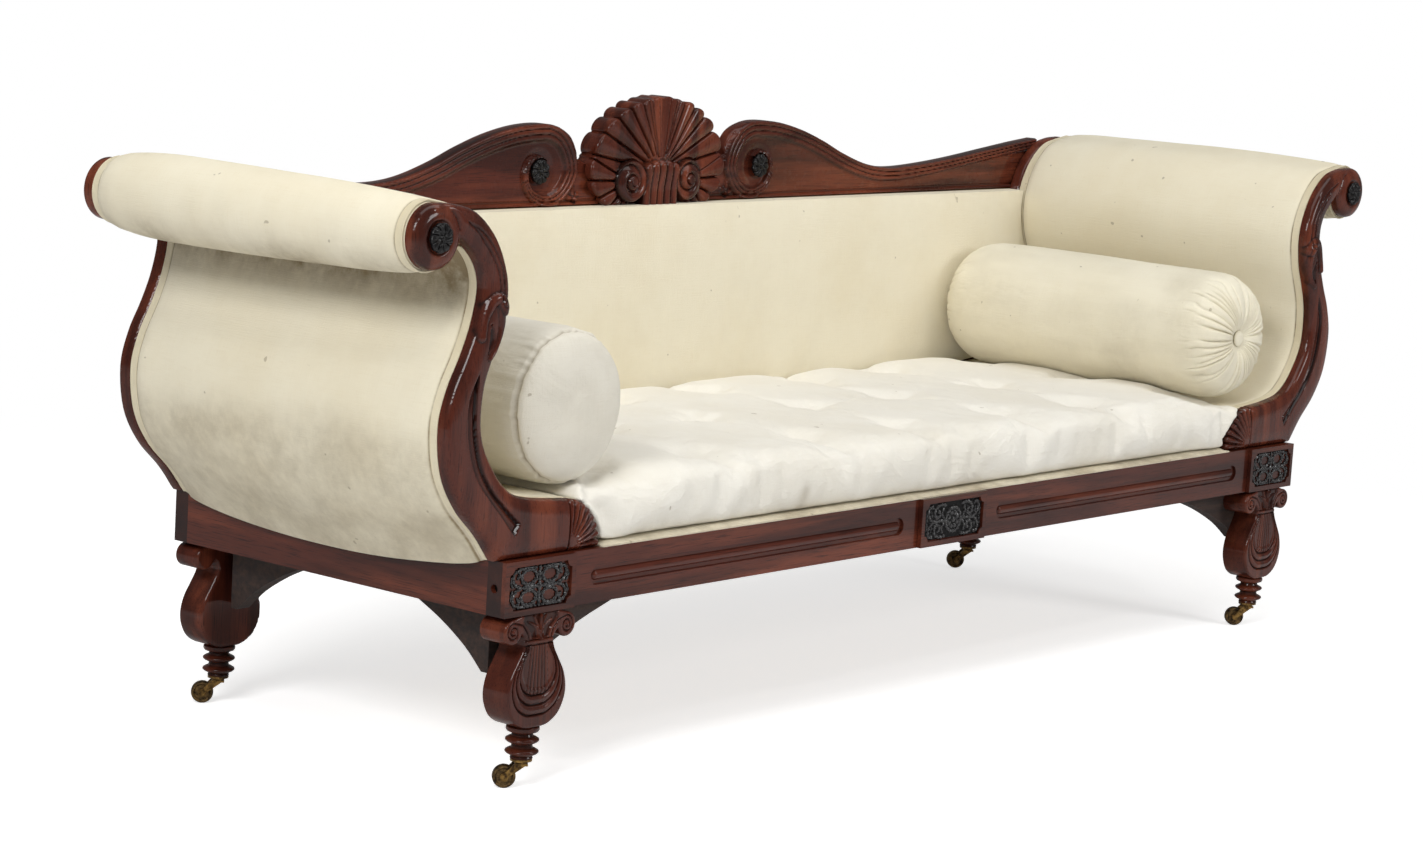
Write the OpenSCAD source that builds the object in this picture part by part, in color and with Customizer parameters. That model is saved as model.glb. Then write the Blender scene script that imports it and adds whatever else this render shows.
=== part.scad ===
// Settee with two scrolled ends, a carved crest, a loose squab and two bolsters.
// Millimetres. The origin is on the floor under the middle of the whole piece.
// X runs along the settee, -Y is the front and +Z is up.

/* [Seat frame] */
// Length of the seat frame
frame_length = 1990; // [1800:10:2200]
// Depth of the seat frame, from the face of the blocks to the back of the back rail
frame_depth = 644; // [560:1:720]
// Height of the underside of the rails above the floor
rail_underside = 243; // [200:1:300]
// Height of every rail
rail_height = 74; // [60:1:100]
// Thickness of every rail
rail_thickness = 26; // [20:1:36]
// Width of each corner block
corner_block_width = 137; // [110:1:160]
// Width of the block at the middle of the front rail
centre_block_width = 165; // [130:1:200]
// Thickness of the blocks planted on the front rail
block_thickness = 7; // [5:0.5:10]
// Width of the raised border of a block
block_border = 8; // [5:0.5:14]
// Depth of the sunk field of a block
field_depth = 4; // [2:0.5:5]
// Radius of the hollow corners of the field
field_corner = 9; // [5:0.5:14]
// Width of the two cross rails under the seat
cross_rail_width = 40; // [25:1:60]
// Height of the two cross rails
cross_rail_height = 48; // [30:1:70]
// Place of each cross rail, as a share of half the frame
cross_rail_share = 0.36; // [0.2:0.02:0.6]

/* [Front rail panels] */
// Height of the long sunk panels
panel_height = 26; // [18:1:34]
// Depth of the long sunk panels
panel_depth = 4; // [2:0.5:8]
// Clear length of rail between a block and the end of a panel
panel_margin = 37; // [20:1:60]
// Height of the raised band inside a panel
band_height = 14; // [8:1:20]
// Rise of the band above the floor of the panel
band_rise = 4; // [2:0.5:6]

/* [Frame bolts] */
// Radius of the sunk holes in the ends of the front rail
bolt_hole_radius = 6; // [4:0.5:9]
// Depth of the sunk holes
bolt_hole_depth = 16; // [8:1:24]
// Length of a bolt head
bolt_head_length = 9; // [4:0.5:14]
// Gap between the head and its hole
bolt_gap = 0.5; // [0.2:0.1:1]

/* [Carved plaques] */
// Gap between a plaque and the border
plaque_gap = 1.5; // [0.5:0.5:4]
// Radius of the rod that makes the rings
ring_rod = 3.6; // [2:0.1:5]
// Radius of each ring
ring_radius = 9.5; // [6:0.5:12]
// Radius of the beads between the rings
bead_radius = 3.9; // [2:0.1:5]

/* [Legs] */
// Distance of the middle of each leg from the end of the seat frame
leg_inset = 73; // [60:1:140]
// Depth of the leg boards
leg_depth = 46; // [36:1:60]
// Height of the leg boards
leg_height = 156; // [120:1:190]
// Half the width of the swelling of a leg
leg_half_width = 57; // [44:1:70]
// Radius of the scrolls at the head of a leg
leg_scroll_radius = 17; // [12:0.5:22]
// Distance of each scroll from the middle of the leg
leg_scroll_offset = 52; // [40:1:60]
// Half the width of the flat head of a leg
leg_head_half = 38; // [28:1:48]

/* [Turned feet] */
// Radius of the three rings of a foot
foot_ring_radius = 23; // [18:0.5:28]
// Radius of the waists between the rings
foot_waist_radius = 14; // [10:0.5:18]
// Half the thickness of a ring
foot_ring_half = 5; // [3:0.5:7]
// Height of the foot from the caster plate to the leg
foot_height = 46; // [36:1:60]

/* [Leg brackets] */
// Length of a bracket along its rail
bracket_length = 150; // [100:5:200]
// Drop of a bracket down the leg
bracket_drop = 92; // [60:1:120]
// Thickness of a bracket
bracket_thickness = 24; // [16:1:32]

// Height of the blocks glued in the corners of the seat frame, over the brackets
glue_block_height = 56; // [30:1:58]

/* [Casters] */
// Radius of the wheels
wheel_radius = 16; // [13:0.5:22]
// Width of the wheels
wheel_width = 13; // [9:0.5:18]
// Rounding of the wheel's edges
wheel_edge = 3; // [1:0.5:5]
// Distance of the wheel behind the spindle
caster_trail = 22; // [14:0.5:28]
// Direction in which the wheels trail, from +X
trail_angle = 137; // [0:1:359]
// Radius of the axle
axle_radius = 2.5; // [1.5:0.1:4]
// Radius of the riveted end of the axle
axle_head_radius = 4; // [3:0.1:6]
// Length of the riveted end
axle_head_length = 1.5; // [1:0.1:3]
// Radius of the spindle
spindle_radius = 4; // [3:0.1:6]
// Running clearance round the axle and the spindle
running_clearance = 0.06; // [0.02:0.01:0.1]
// Side clearance between the wheel and the horn
side_clearance = 0.6; // [0.3:0.1:1.5]
// Thickness of the cheeks of the horn
cheek_thickness = 3; // [2:0.5:5]
// Radius of the cheeks round the axle
cheek_radius = 5.5; // [4:0.5:8]
// Radius of the hub of the horn
hub_radius = 9; // [7:0.5:13]
// Height of the hub of the horn
hub_height = 6; // [4:0.5:10]
// Radius of the caster plate
plate_radius = 15; // [12:0.5:20]
// Thickness of the caster plate
plate_thickness = 3; // [2:0.5:5]
// Radius of a screw head on the plate
screw_head_radius = 2.2; // [1.5:0.1:3]
// Height of a screw head
screw_head_height = 1; // [0.5:0.1:2]
// Distance of the screws from the spindle
screw_circle = 12; // [10:0.5:14]

/* [Scrolled arms] */
// Thickness of the shaped facings
facing_thickness = 20; // [14:1:28]
// Distance of the front facings behind the face of the blocks
facing_setback = 9; // [0:1:20]
// Distance of the tip of the arm's foot from the end of the seat frame
foot_inset = 197; // [150:1:250]
// Distance of the scroll's centre beyond the end of the seat frame
scroll_overhang = 145; // [100:1:180]
// Height of the scroll's centre above the rails
scroll_rise = 431; // [380:1:480]
// Radius of the scroll
scroll_radius = 43; // [34:1:54]
// Radius of the carved fan at the foot
fan_radius = 66; // [50:1:80]
// Height of the fan's centre above the rails
fan_rise = 5; // [0:1:12]
// Thickness of the padding inside the arms
arm_pad_thickness = 15; // [10:1:22]
// How far the padding swells at the middle of the arm's depth
arm_pad_swell = 7; // [0:1:16]
// Extra radius of the padded roll over the wooden scroll
roll_swell = 4; // [0:1:12]
// Thickness of the outside cover
cover_thickness = 5; // [3:0.5:10]
// How far the outside cover swells
cover_swell = 8; // [0:1:16]
// How far the cover hangs over the end rail at the middle
cover_hang = 24; // [0:1:36]
// Thickness of the slats inside the arms
slat_thickness = 12; // [8:1:16]
// Width of the slats inside the arms
slat_width = 46; // [30:1:70]
// Gap between the slats and the outside cover
slat_gap = 3; // [1:0.5:6]
// Radius of the round core of the roll
core_radius = 22; // [14:1:28]
// Radius of the carved rosettes
rosette_radius = 20; // [14:0.5:26]
// Thickness of the rosettes
rosette_thickness = 7; // [4:0.5:10]
// Radius of the beads on the rosettes
petal_radius = 5; // [3:0.5:8]

/* [Crest and back] */
// Thickness of the crest board and the back frame
crest_thickness = 22; // [18:1:30]
// Height of the underside of the crest above the rails
crest_rise = 380; // [340:1:420]
// Height of the crest at its two peaks
crest_height = 131; // [100:1:160]
// How far each end of the crest runs beyond the end of the seat frame
crest_overhang = 85; // [50:1:110]
// Height of the crest board behind the shell, as a share of its full height
crest_saddle_share = 0.5; // [0.4:0.02:0.7]
// Distance of the crest rosettes from the middle
crest_rosette_offset = 271; // [230:1:310]
// Height of the crest rosettes above the underside of the crest
crest_rosette_rise = 56; // [40:1:70]
// Half the width of the shell
shell_half_width = 163; // [130:1:190]
// Height of the shell above the underside of the crest
shell_height = 173; // [140:1:200]
// How far the shell stands in front of the crest board
shell_projection = 18; // [8:1:26]
// Number of lobes round the shell
shell_lobes = 13; // [9:2:17]
// Radius of the small scrolls at the foot of the shell
shell_scroll_radius = 24; // [16:1:30]
// Distance of the small scrolls from the middle
shell_scroll_offset = 62; // [40:1:80]
// Width of the posts and rails of the back frame
back_member_width = 60; // [40:1:80]
// Distance of the inner posts from the middle one
inner_post_offset = 560; // [400:1:800]
// Distance of the straight inner edge of an end post from the foot of the arm
end_post_inset = 163.5; // [140:0.5:180]
// Thickness of the padding of the back at its edges
back_pad_edge = 34; // [20:1:44]
// Swell of the padding of the back
back_pad_swell = 12; // [0:1:20]
// Gap between the back padding and the arms
back_pad_gap = 3; // [1:0.5:8]
// Thickness of the cloth over the outside of the back
back_cloth_thickness = 2; // [1:0.5:4]

/* [Seat and cushions] */
// Thickness of the seat deck inside the frame
deck_thickness = 12; // [8:1:20]
// Thickness of the edge of the deck that shows over the rails
deck_lip = 6; // [4:0.5:10]
// Distance of the deck's edge behind the face of the blocks
deck_setback = 8; // [2:1:20]
// Width of the webbing straps
strap_width = 50; // [40:1:70]
// Thickness of the webbing straps
strap_thickness = 2; // [1:0.5:3]
// Number of straps from front to back
strap_count = 13; // [9:1:19]
// Thickness of the squab at its crown
squab_thickness = 86; // [70:1:110]
// Distance of the squab's face behind the face of the blocks
squab_setback = 12; // [4:1:30]
// Gap between the squab and the arms and back
squab_gap = 2; // [1:0.5:6]
// Depth of the sewn tufts
tuft_depth = 9; // [0:1:20]
// Spread of a tuft's hollow
tuft_spread = 46; // [20:1:80]
// Number of tufts along the squab
tuft_columns = 7; // [5:1:9]
// Number of rows of tufts
tuft_rows = 3; // [2:1:4]
// Gap between the bolsters and the padding of the back
bolster_gap = 7; // [4:1:30]
// Radius of the bolsters
bolster_radius = 108; // [90:1:125]
// Distance of the middle of each bolster from the end of the seat frame
bolster_inset = 159; // [120:1:190]
// Height of the bolsters' underside above the rails
bolster_rise = 80.8; // [70:0.1:100]
// Distance of the bolsters' front ends behind the face of the blocks
bolster_setback = 31; // [10:1:60]
// How square the bolsters' ends are, as the power of their outline
bolster_power = 7; // [3:0.5:12]
// Radius of the covered buttons
button_radius = 13; // [8:1:18]
// Thickness of the covered buttons
button_thickness = 7; // [4:0.5:10]

/* [Hidden] */
overrun = 1;
unit_depth = 1;
turn_facets = 64;
small_facets = 32;
// Outline of the arm between its fan and its scroll, as shares of the reach and the rise
arm_inner_shares = [
    [0.193, 0.165], [0.348, 0.176], [0.488, 0.197], [0.573, 0.237],
    [0.637, 0.295], [0.690, 0.364], [0.711, 0.439], [0.702, 0.541],
    [0.664, 0.626], [0.617, 0.712], [0.596, 0.814], [0.617, 0.903],
    [0.684, 0.998], [0.789, 1.069], [0.898, 1.094], [1.000, 1.100]
];
// Outline of the outer side of the arm, from the rail to the notch under the scroll
arm_outer_shares = [
    [0.594, 0.000], [0.681, 0.084], [0.798, 0.174], [0.880, 0.285],
    [0.904, 0.427], [0.868, 0.538], [0.807, 0.633], [0.757, 0.731],
    [0.731, 0.838], [0.760, 0.912], [0.839, 0.974], [0.912, 1.005]
];
// Half outline of a leg from its foot to its scrolls
leg_shares = [
    [0.00, 0.000], [0.39, 0.010], [0.75, 0.083], [0.95, 0.200], [1.00, 0.320],
    [0.91, 0.455], [0.70, 0.583], [0.54, 0.680], [0.49, 0.750], [0.54, 0.810],
    [0.74, 0.865]
];
// Half outline of the top of the crest, from the shell outwards
crest_shares = [
    [0.166, 0.55], [0.169, 0.68], [0.185, 0.86], [0.215, 0.965], [0.250, 1.00],
    [0.300, 0.97], [0.355, 0.875], [0.410, 0.73], [0.460, 0.57], [0.515, 0.43],
    [0.560, 0.365], [0.610, 0.35], [0.680, 0.385], [0.760, 0.45], [0.860, 0.555],
    [0.940, 0.64], [1.000, 0.695]
];
// Lower edge of a bracket, from the rail to the leg
bracket_shares = [[1.00, 0.00], [0.96, 0.10], [0.62, 0.36], [0.30, 0.68], [0.08, 1.00]];
// Edge of the back frame behind the rear facings, from the rails to the crest
back_edge_shares = [
    [0.550, 0.000], [0.630, 0.095], [0.720, 0.197], [0.765, 0.323], [0.800, 0.484],
    [0.785, 0.610], [0.735, 0.718], [0.685, 0.829], [0.665, 0.950], [0.670, 1.000]
];
// Places of the slats along the arm
slat_shares = [0.40, 0.54, 0.68, 0.82];
// Heights of the squab's sides, and how far they draw in, as shares
squab_ring_shares = [[0.00, 1.0], [0.22, 0.25], [0.46, 0.0], [0.68, 0.15], [0.84, 0.7]];

half_length = frame_length / 2;
leg_offset = half_length - leg_inset;
foot_tip = half_length - foot_inset;
scroll_offset = half_length + scroll_overhang;
crest_half = half_length + crest_overhang;
bolster_offset = half_length - bolster_inset;
front_y = -(frame_depth + crest_thickness) / 2;
back_y = front_y + frame_depth;
rail_front_y = front_y + block_thickness;
rail_inner_front = rail_front_y + rail_thickness;
rail_inner_back = back_y - rail_thickness;
rail_inner_end = half_length - rail_thickness;
rail_top = rail_underside + rail_height;
rail_middle = rail_underside + rail_height / 2;
corner_block_middle = half_length - corner_block_width / 2;
block_inner_edge = half_length - corner_block_width;
facing_front_y = front_y + facing_setback;
arm_front_y = facing_front_y + facing_thickness;
arm_back_y = back_y - facing_thickness;
arm_reach = scroll_offset - foot_tip;
scroll_z = rail_top + scroll_rise;
fan_x = foot_tip + fan_radius;
fan_z = rail_top + fan_rise;
leg_foot = rail_underside - leg_height;
foot_bottom = leg_foot - foot_height;
front_leg_y = front_y + leg_depth / 2;
back_leg_y = back_y - leg_depth / 2;
plate_underside = foot_bottom - plate_thickness;
wheel_x = caster_trail * cos(trail_angle);
wheel_y = caster_trail * sin(trail_angle);
crest_base = rail_top + crest_rise;
crest_back_y = back_y + crest_thickness;
shell_front_y = back_y - shell_projection;
deck_top = rail_top + deck_lip;
deck_front_y = front_y + deck_setback;
back_pad_front_y = back_y - back_pad_edge;
deck_back_y = back_pad_front_y;
squab_front_y = front_y + squab_setback;
squab_back_y = back_pad_front_y - back_pad_swell - squab_gap;
bolster_z = rail_top + bolster_rise + bolster_radius;
bolster_front_y = front_y + bolster_setback;
bolster_back_y = back_pad_front_y - back_pad_swell - bolster_gap;
bolster_length = bolster_back_y - bolster_front_y;
bolster_y = bolster_front_y + bolster_length / 2;
web_top = rail_top - deck_thickness;

// A point of a smooth curve through four points, at share t of the middle span
function curve_point(a, b, c, d, t) =
    (2 * b + (c - a) * t + (2 * a - 5 * b + 4 * c - d) * t * t
    + (3 * b - a - 3 * c + d) * t * t * t) / 2;
// A smooth curve through a list of points, with a number of steps in each span
function smooth(points, steps) = let (last = len(points) - 1) concat(
    [for (i = [0 : last - 1]) for (j = [0 : steps - 1]) curve_point(
        points[max(i - 1, 0)], points[i], points[i + 1], points[min(i + 2, last)],
        j / steps)], [points[last]]);
// The same list from its end to its start
function reversed(points) = [for (i = [len(points) - 1 : -1 : 0]) points[i]];
// Points of an arc
function arc_points(x, z, r, from, to, steps) =
    [for (i = [0 : steps]) let (a = from + (to - from) * i / steps)
        [x + r * cos(a), z + r * sin(a)]];
// The unit normal of a path at one of its points, to the left of its direction
function path_normal(path, i) = let (
    a = path[max(i - 1, 0)], b = path[min(i + 1, len(path) - 1)],
    d = (b - a) / norm(b - a)) [-d[1], d[0]];
// A point of the arm's outline from its two shares
function arm_point(s) = [foot_tip + s[0] * arm_reach, rail_top + s[1] * scroll_rise];

arm_steps = 3;
arm_inner_points = [for (s = arm_inner_shares) arm_point(s)];
arm_outer_points = [for (s = arm_outer_shares) arm_point(s)];
fan_steps = 6;
fan_low_angle = 180 + asin(fan_rise / fan_radius);
fan_path = arc_points(fan_x, fan_z, fan_radius, fan_low_angle, 90, fan_steps);
fan_path_open = [for (i = [0 : fan_steps - 1]) fan_path[i]];
arm_inner_path = concat(fan_path_open, smooth(arm_inner_points, arm_steps));
arm_outer_path = smooth(arm_outer_points, arm_steps);

// Mirrors a right-hand piece to the left
module left_hand() mirror([1, 0, 0]) children();
// Extrudes an outline drawn in X and Z from one Y to another
module upright(y_from, y_to) {
    translate([0, y_to, 0]) rotate([90, 0, 0]) linear_extrude(y_to - y_from) children();
}
// A box between two corners
module box(low, high) translate(low) cube(high - low);

// The front rail, with two sunk panels that hold a raised band
module front_rail() color([0.42, 0.18, 0.12]) {
    difference() {
        box([-half_length, rail_front_y, rail_underside],
            [half_length, rail_inner_front, rail_top]);
        for (side = [-1, 1]) panel_sink(side);
        for (side = [-1, 1]) bolt_hole(side);
    }
    for (side = [-1, 1]) panel_band(side);
}
panel_start = centre_block_width / 2 + panel_margin;
panel_end = block_inner_edge - panel_margin;
module panel_sink(side) {
    radius = panel_height / 2;
    for (x = [panel_start + radius, panel_end - radius]) {
        translate([side * x, rail_front_y + panel_depth, rail_middle]) rotate([90, 0, 0])
            cylinder(r = radius, h = panel_depth + overrun, $fn = turn_facets);
    }
    span = panel_end - panel_start - panel_height;
    middle = side * (panel_start + panel_end) / 2;
    translate([middle - span / 2, rail_front_y - overrun, rail_middle - radius])
        cube([span, panel_depth + overrun, panel_height]);
}
module panel_band(side) {
    half = band_height / 2;
    radius = (half * half + band_rise * band_rise) / (2 * band_rise);
    floor_y = rail_front_y + panel_depth;
    margin = (panel_height - band_height) / 2;
    low = panel_start + margin + half;
    high = panel_end - margin - half;
    intersection() {
        union() {
            translate([side * low, floor_y + radius - band_rise, rail_middle])
                rotate([0, side * 90, 0])
                cylinder(r = radius, h = high - low, $fn = turn_facets);
            for (x = [low, high]) {
                translate([side * x, floor_y + radius - band_rise, rail_middle])
                    sphere(r = radius, $fn = turn_facets);
            }
        }
        box([-half_length, rail_front_y - overrun, rail_underside],
            [half_length, floor_y, rail_top]);
    }
}
bolt_y = rail_front_y + rail_thickness / 2;
module bolt_hole(side) {
    translate([side * (half_length + overrun), bolt_y, rail_middle])
        rotate([0, -side * 90, 0])
        cylinder(r = bolt_hole_radius, h = bolt_hole_depth + overrun, $fn = small_facets);
}
// The two bolt heads at the bottom of the holes
module frame_bolts() color([0.16, 0.15, 0.15]) {
    for (side = [-1, 1]) {
        translate([side * (half_length - bolt_hole_depth), bolt_y, rail_middle])
            rotate([0, side * 90, 0])
            cylinder(r = bolt_hole_radius - bolt_gap, h = bolt_head_length,
                $fn = small_facets);
    }
}
module back_rail() color([0.36, 0.16, 0.11]) {
    box([-half_length, rail_inner_back, rail_underside], [half_length, back_y, rail_top]);
}
module end_rail_right() color([0.42, 0.2, 0.13]) {
    box([rail_inner_end, rail_inner_front, rail_underside],
        [half_length, rail_inner_back, rail_top]);
}
module end_rail_left() left_hand() end_rail_right();
// Two rails that hold the front and back rails apart
module seat_cross_rails() color([0.5, 0.36, 0.22]) {
    for (side = [-1, 1]) {
        translate([side * half_length * cross_rail_share - cross_rail_width / 2,
            rail_inner_front, rail_underside])
            cube([cross_rail_width, rail_inner_back - rail_inner_front, cross_rail_height]);
    }
}

// A block planted on the front rail, with a sunk field that has hollow corners
module rail_block(middle, width) color([0.4, 0.17, 0.11]) {
    low_x = middle - width / 2;
    field_y = front_y + field_depth;
    difference() {
        box([low_x, front_y, rail_underside], [low_x + width, rail_front_y, rail_top]);
        difference() {
            box([low_x + block_border, front_y - overrun, rail_underside + block_border],
                [low_x + width - block_border, field_y, rail_top - block_border]);
            for (x = [low_x + block_border, low_x + width - block_border]) {
                for (z = [rail_underside + block_border, rail_top - block_border]) {
                    translate([x, field_y + overrun, z]) rotate([90, 0, 0])
                        cylinder(r = field_corner, h = field_depth + 3 * overrun,
                            $fn = small_facets);
                }
            }
        }
    }
}
module block_left() rail_block(-corner_block_middle, corner_block_width);
module block_centre() rail_block(0, centre_block_width);
module block_right() rail_block(corner_block_middle, corner_block_width);

// A pierced plaque: two rows of rings joined by beads and by two rods
module plaque(middle, width, columns) color([0.08, 0.08, 0.08]) {
    bed_y = front_y + field_depth;
    inner_width = width - 2 * block_border - 2 * plaque_gap - 2 * field_corner;
    inner_height = rail_height - 2 * block_border - 2 * plaque_gap;
    bar_height = inner_height - field_corner - plaque_gap;
    step = inner_width / columns;
    row = inner_height / 4;
    intersection() {
        translate([middle, bed_y, rail_middle]) {
            for (i = [0 : columns - 1]) {
                for (side = [-1, 1]) {
                    translate([(i - (columns - 1) / 2) * step, 0, side * row])
                        rotate([90, 0, 0]) plaque_ring();
                }
                translate([(i - (columns - 1) / 2) * step, 0, 0])
                    sphere(r = bead_radius, $fn = small_facets);
            }
            translate([-inner_width / 2, 0, 0]) rotate([0, 90, 0])
                cylinder(r = ring_rod, h = inner_width, $fn = small_facets);
            for (i = [0 : columns]) {
                translate([(i - columns / 2) * step, 0, -bar_height / 2])
                    cylinder(r = ring_rod, h = bar_height, $fn = small_facets);
            }
        }
        box([middle - width, bed_y - 2 * bead_radius, rail_underside],
            [middle + width, bed_y, rail_top]);
    }
}
module plaque_ring() rotate_extrude($fn = small_facets) {
    translate([ring_radius, 0]) circle(r = ring_rod, $fn = small_facets / 2);
}
module plaque_left() plaque(-corner_block_middle, corner_block_width, 3);
module plaque_centre() plaque(0, centre_block_width, 4);
module plaque_right() plaque(corner_block_middle, corner_block_width, 3);

// A shaped leg board with a scroll on each side of its head
module leg(x, y) color([0.4, 0.18, 0.12]) {
    half_points = [for (s = leg_shares) [s[0] * leg_half_width, s[1] * leg_height]];
    half_path = smooth(half_points, 3);
    scroll_z = leg_height - leg_scroll_radius - leg_scroll_radius / 4;
    head = [[leg_scroll_offset, scroll_z + leg_scroll_radius], [leg_head_half, leg_height]];
    outline = concat(half_path, head);
    mirrored = [for (p = reversed(outline)) [-p[0], p[1]]];
    translate([x, y, leg_foot]) {
        upright(-leg_depth / 2, leg_depth / 2) polygon(concat(outline, mirrored));
        for (side = [-1, 1]) {
            translate([side * leg_scroll_offset, leg_depth / 2, scroll_z])
                rotate([90, 0, 0])
                cylinder(r = leg_scroll_radius, h = leg_depth, $fn = turn_facets);
        }
    }
}
module leg_front_left() leg(-leg_offset, front_leg_y);
module leg_front_right() leg(leg_offset, front_leg_y);
module leg_back_left() leg(-leg_offset, back_leg_y);
module leg_back_right() leg(leg_offset, back_leg_y);
module at_legs() for (x = [-leg_offset, leg_offset]) for (y = [front_leg_y, back_leg_y]) {
    translate([x, y, 0]) children();
}

// The four turned feet: three rings on a waist
module turned_feet() color([0.38, 0.17, 0.11]) at_legs() {
    translate([0, 0, foot_bottom])
        cylinder(r = foot_waist_radius, h = foot_height, $fn = turn_facets);
    for (share = [0.22, 0.57]) foot_ring(foot_bottom + foot_height * share);
    translate([0, 0, leg_foot - foot_ring_half]) {
        cylinder(r = foot_ring_radius - foot_ring_half, h = foot_ring_half,
            $fn = turn_facets);
    }
    intersection() {
        foot_ring(leg_foot - foot_ring_half);
        translate([0, 0, foot_bottom])
            cylinder(r = 2 * foot_ring_radius, h = foot_height, $fn = turn_facets);
    }
}
module foot_ring(z) translate([0, 0, z]) {
    cylinder(r = foot_ring_radius - foot_ring_half, h = 2 * foot_ring_half,
        center = true, $fn = turn_facets);
    rotate_extrude($fn = turn_facets) translate([foot_ring_radius - foot_ring_half, 0])
        circle(r = foot_ring_half, $fn = small_facets);
}

// A bracket in X and Z whose corner is at the origin, growing to +X and -Z
module bracket_board(width, length) {
    edge = smooth([for (s = bracket_shares)
        [s[0] * length, -s[1] * bracket_drop]], 4);
    upright(-width / 2, width / 2)
        polygon(concat([[0, 0]], edge, [[0, -bracket_drop]]));
}
// Two brackets behind each leg, one under each rail. Both stand against the plain back
// of the leg board, and the one along the long rail starts at the leg's middle
module leg_brackets() color([0.24, 0.13, 0.09]) {
    for (side = [0, 1]) for (end = [0, 1]) mirror([side, 0, 0]) {
        inner_y = end == 0 ? front_y + leg_depth : back_y - leg_depth;
        translate([leg_offset, inner_y, rail_underside]) mirror([0, end, 0]) {
            translate([0, bracket_thickness / 2, 0]) mirror([1, 0, 0])
                bracket_board(bracket_thickness, bracket_length + leg_half_width);
            translate([bracket_thickness / 2, bracket_thickness, 0]) rotate([0, 0, 90])
                bracket_board(bracket_thickness, bracket_length);
        }
    }
}

// Four corner blocks glued to the inner faces of the rails. They carry the brackets
module glue_blocks() color([0.56, 0.41, 0.25]) {
    front_bracket_y = front_y + leg_depth + bracket_thickness;
    back_bracket_y = back_y - leg_depth - bracket_thickness;
    for (side = [0, 1]) mirror([side, 0, 0]) {
        glue_block(rail_inner_front, front_bracket_y, front_bracket_y + bracket_length);
        glue_block(rail_inner_back, back_bracket_y, back_bracket_y - bracket_length);
    }
}
// One block: an arm along the long rail and an arm along the end rail
module glue_block(rail_y, bracket_y, far_y) {
    low_x = leg_offset - bracket_length - leg_half_width;
    box([low_x, min(rail_y, bracket_y), rail_underside],
        [rail_inner_end, max(rail_y, bracket_y), rail_underside + glue_block_height]);
    box([leg_offset, min(bracket_y, far_y), rail_underside],
        [rail_inner_end, max(bracket_y, far_y), rail_underside + glue_block_height]);
}

// The plates and spindles, fixed to the feet
module caster_plates() color([0.66, 0.52, 0.28]) at_legs() {
    translate([0, 0, plate_underside])
        cylinder(r = plate_radius, h = plate_thickness, $fn = small_facets);
    translate([0, 0, plate_underside - hub_height])
        cylinder(r = spindle_radius, h = hub_height + overrun, $fn = small_facets);
}
module caster_screws() color([0.6, 0.48, 0.27]) at_legs() {
    for (a = [0, 120, 240]) rotate([0, 0, a]) translate([screw_circle, 0, 0]) {
        translate([0, 0, plate_underside - screw_head_height])
            cylinder(r = screw_head_radius, h = screw_head_height, $fn = small_facets / 2);
    }
}
horn_width = wheel_width + 2 * side_clearance + 2 * cheek_thickness;
// A horn: a hub round the spindle and two cheeks that hold the axle
module horn(x, y) color([0.68, 0.53, 0.27]) translate([x, y, 0]) rotate(trail_angle) {
    difference() {
        union() {
            translate([0, 0, plate_underside - hub_height])
                cylinder(r = hub_radius, h = hub_height - screw_head_height - unit_depth / 2,
                    $fn = small_facets);
            translate([0, 0, plate_underside - hub_height])
                cylinder(r = spindle_radius + cheek_thickness, h = hub_height,
                    $fn = small_facets);
            for (side = [-1, 1]) horn_cheek(side);
        }
        translate([0, 0, plate_underside - 2 * hub_height])
            cylinder(r = spindle_radius + running_clearance, h = 3 * hub_height,
                $fn = small_facets);
        translate([caster_trail, horn_width, wheel_radius]) rotate([90, 0, 0])
            cylinder(r = axle_radius, h = 2 * horn_width, $fn = small_facets);
    }
}
// The outline of a cheek runs from the hub down to the axle
module horn_cheek(side) {
    top = plate_underside - hub_height;
    inner = wheel_width / 2 + side_clearance;
    y = side > 0 ? inner : -inner - cheek_thickness;
    translate([0, y + cheek_thickness, 0]) rotate([90, 0, 0]) {
        linear_extrude(cheek_thickness) polygon([
            [-hub_radius, top + hub_height / 2], [hub_radius, top + hub_height / 2],
            [caster_trail + cheek_radius, wheel_radius],
            [caster_trail - cheek_radius, wheel_radius]]);
        translate([caster_trail, wheel_radius, 0])
            cylinder(r = cheek_radius, h = cheek_thickness, $fn = small_facets);
    }
    translate([-hub_radius, side > 0 ? 0 : -inner - cheek_thickness, top])
        cube([hub_radius, inner + cheek_thickness, hub_height / 2]);
}
module axle(x, y) color([0.55, 0.43, 0.24]) translate([x, y, 0]) rotate(trail_angle) {
    translate([caster_trail, horn_width / 2, wheel_radius]) rotate([90, 0, 0])
        cylinder(r = axle_radius, h = horn_width, $fn = small_facets);
    for (side = [-1, 1]) {
        translate([caster_trail, side * horn_width / 2, wheel_radius])
            rotate([-side * 90, 0, 0])
            cylinder(r = axle_head_radius, h = axle_head_length, $fn = small_facets);
    }
}
module wheel(x, y) color([0.62, 0.5, 0.3]) translate([x, y, 0]) rotate(trail_angle) {
    flat = wheel_width - 2 * wheel_edge;
    translate([caster_trail, 0, wheel_radius]) rotate([90, 0, 0]) difference() {
        union() {
            cylinder(r = wheel_radius - wheel_edge, h = wheel_width, center = true,
                $fn = turn_facets);
            cylinder(r = wheel_radius, h = flat, center = true, $fn = turn_facets);
            for (side = [-1, 1]) translate([0, 0, side * flat / 2])
                rotate_extrude($fn = turn_facets)
                translate([wheel_radius - wheel_edge, 0])
                circle(r = wheel_edge, $fn = small_facets);
        }
        cylinder(r = axle_radius + running_clearance, h = 2 * wheel_width, center = true,
            $fn = small_facets);
    }
}
module horn_front_left() horn(-leg_offset, front_leg_y);
module horn_front_right() horn(leg_offset, front_leg_y);
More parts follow.
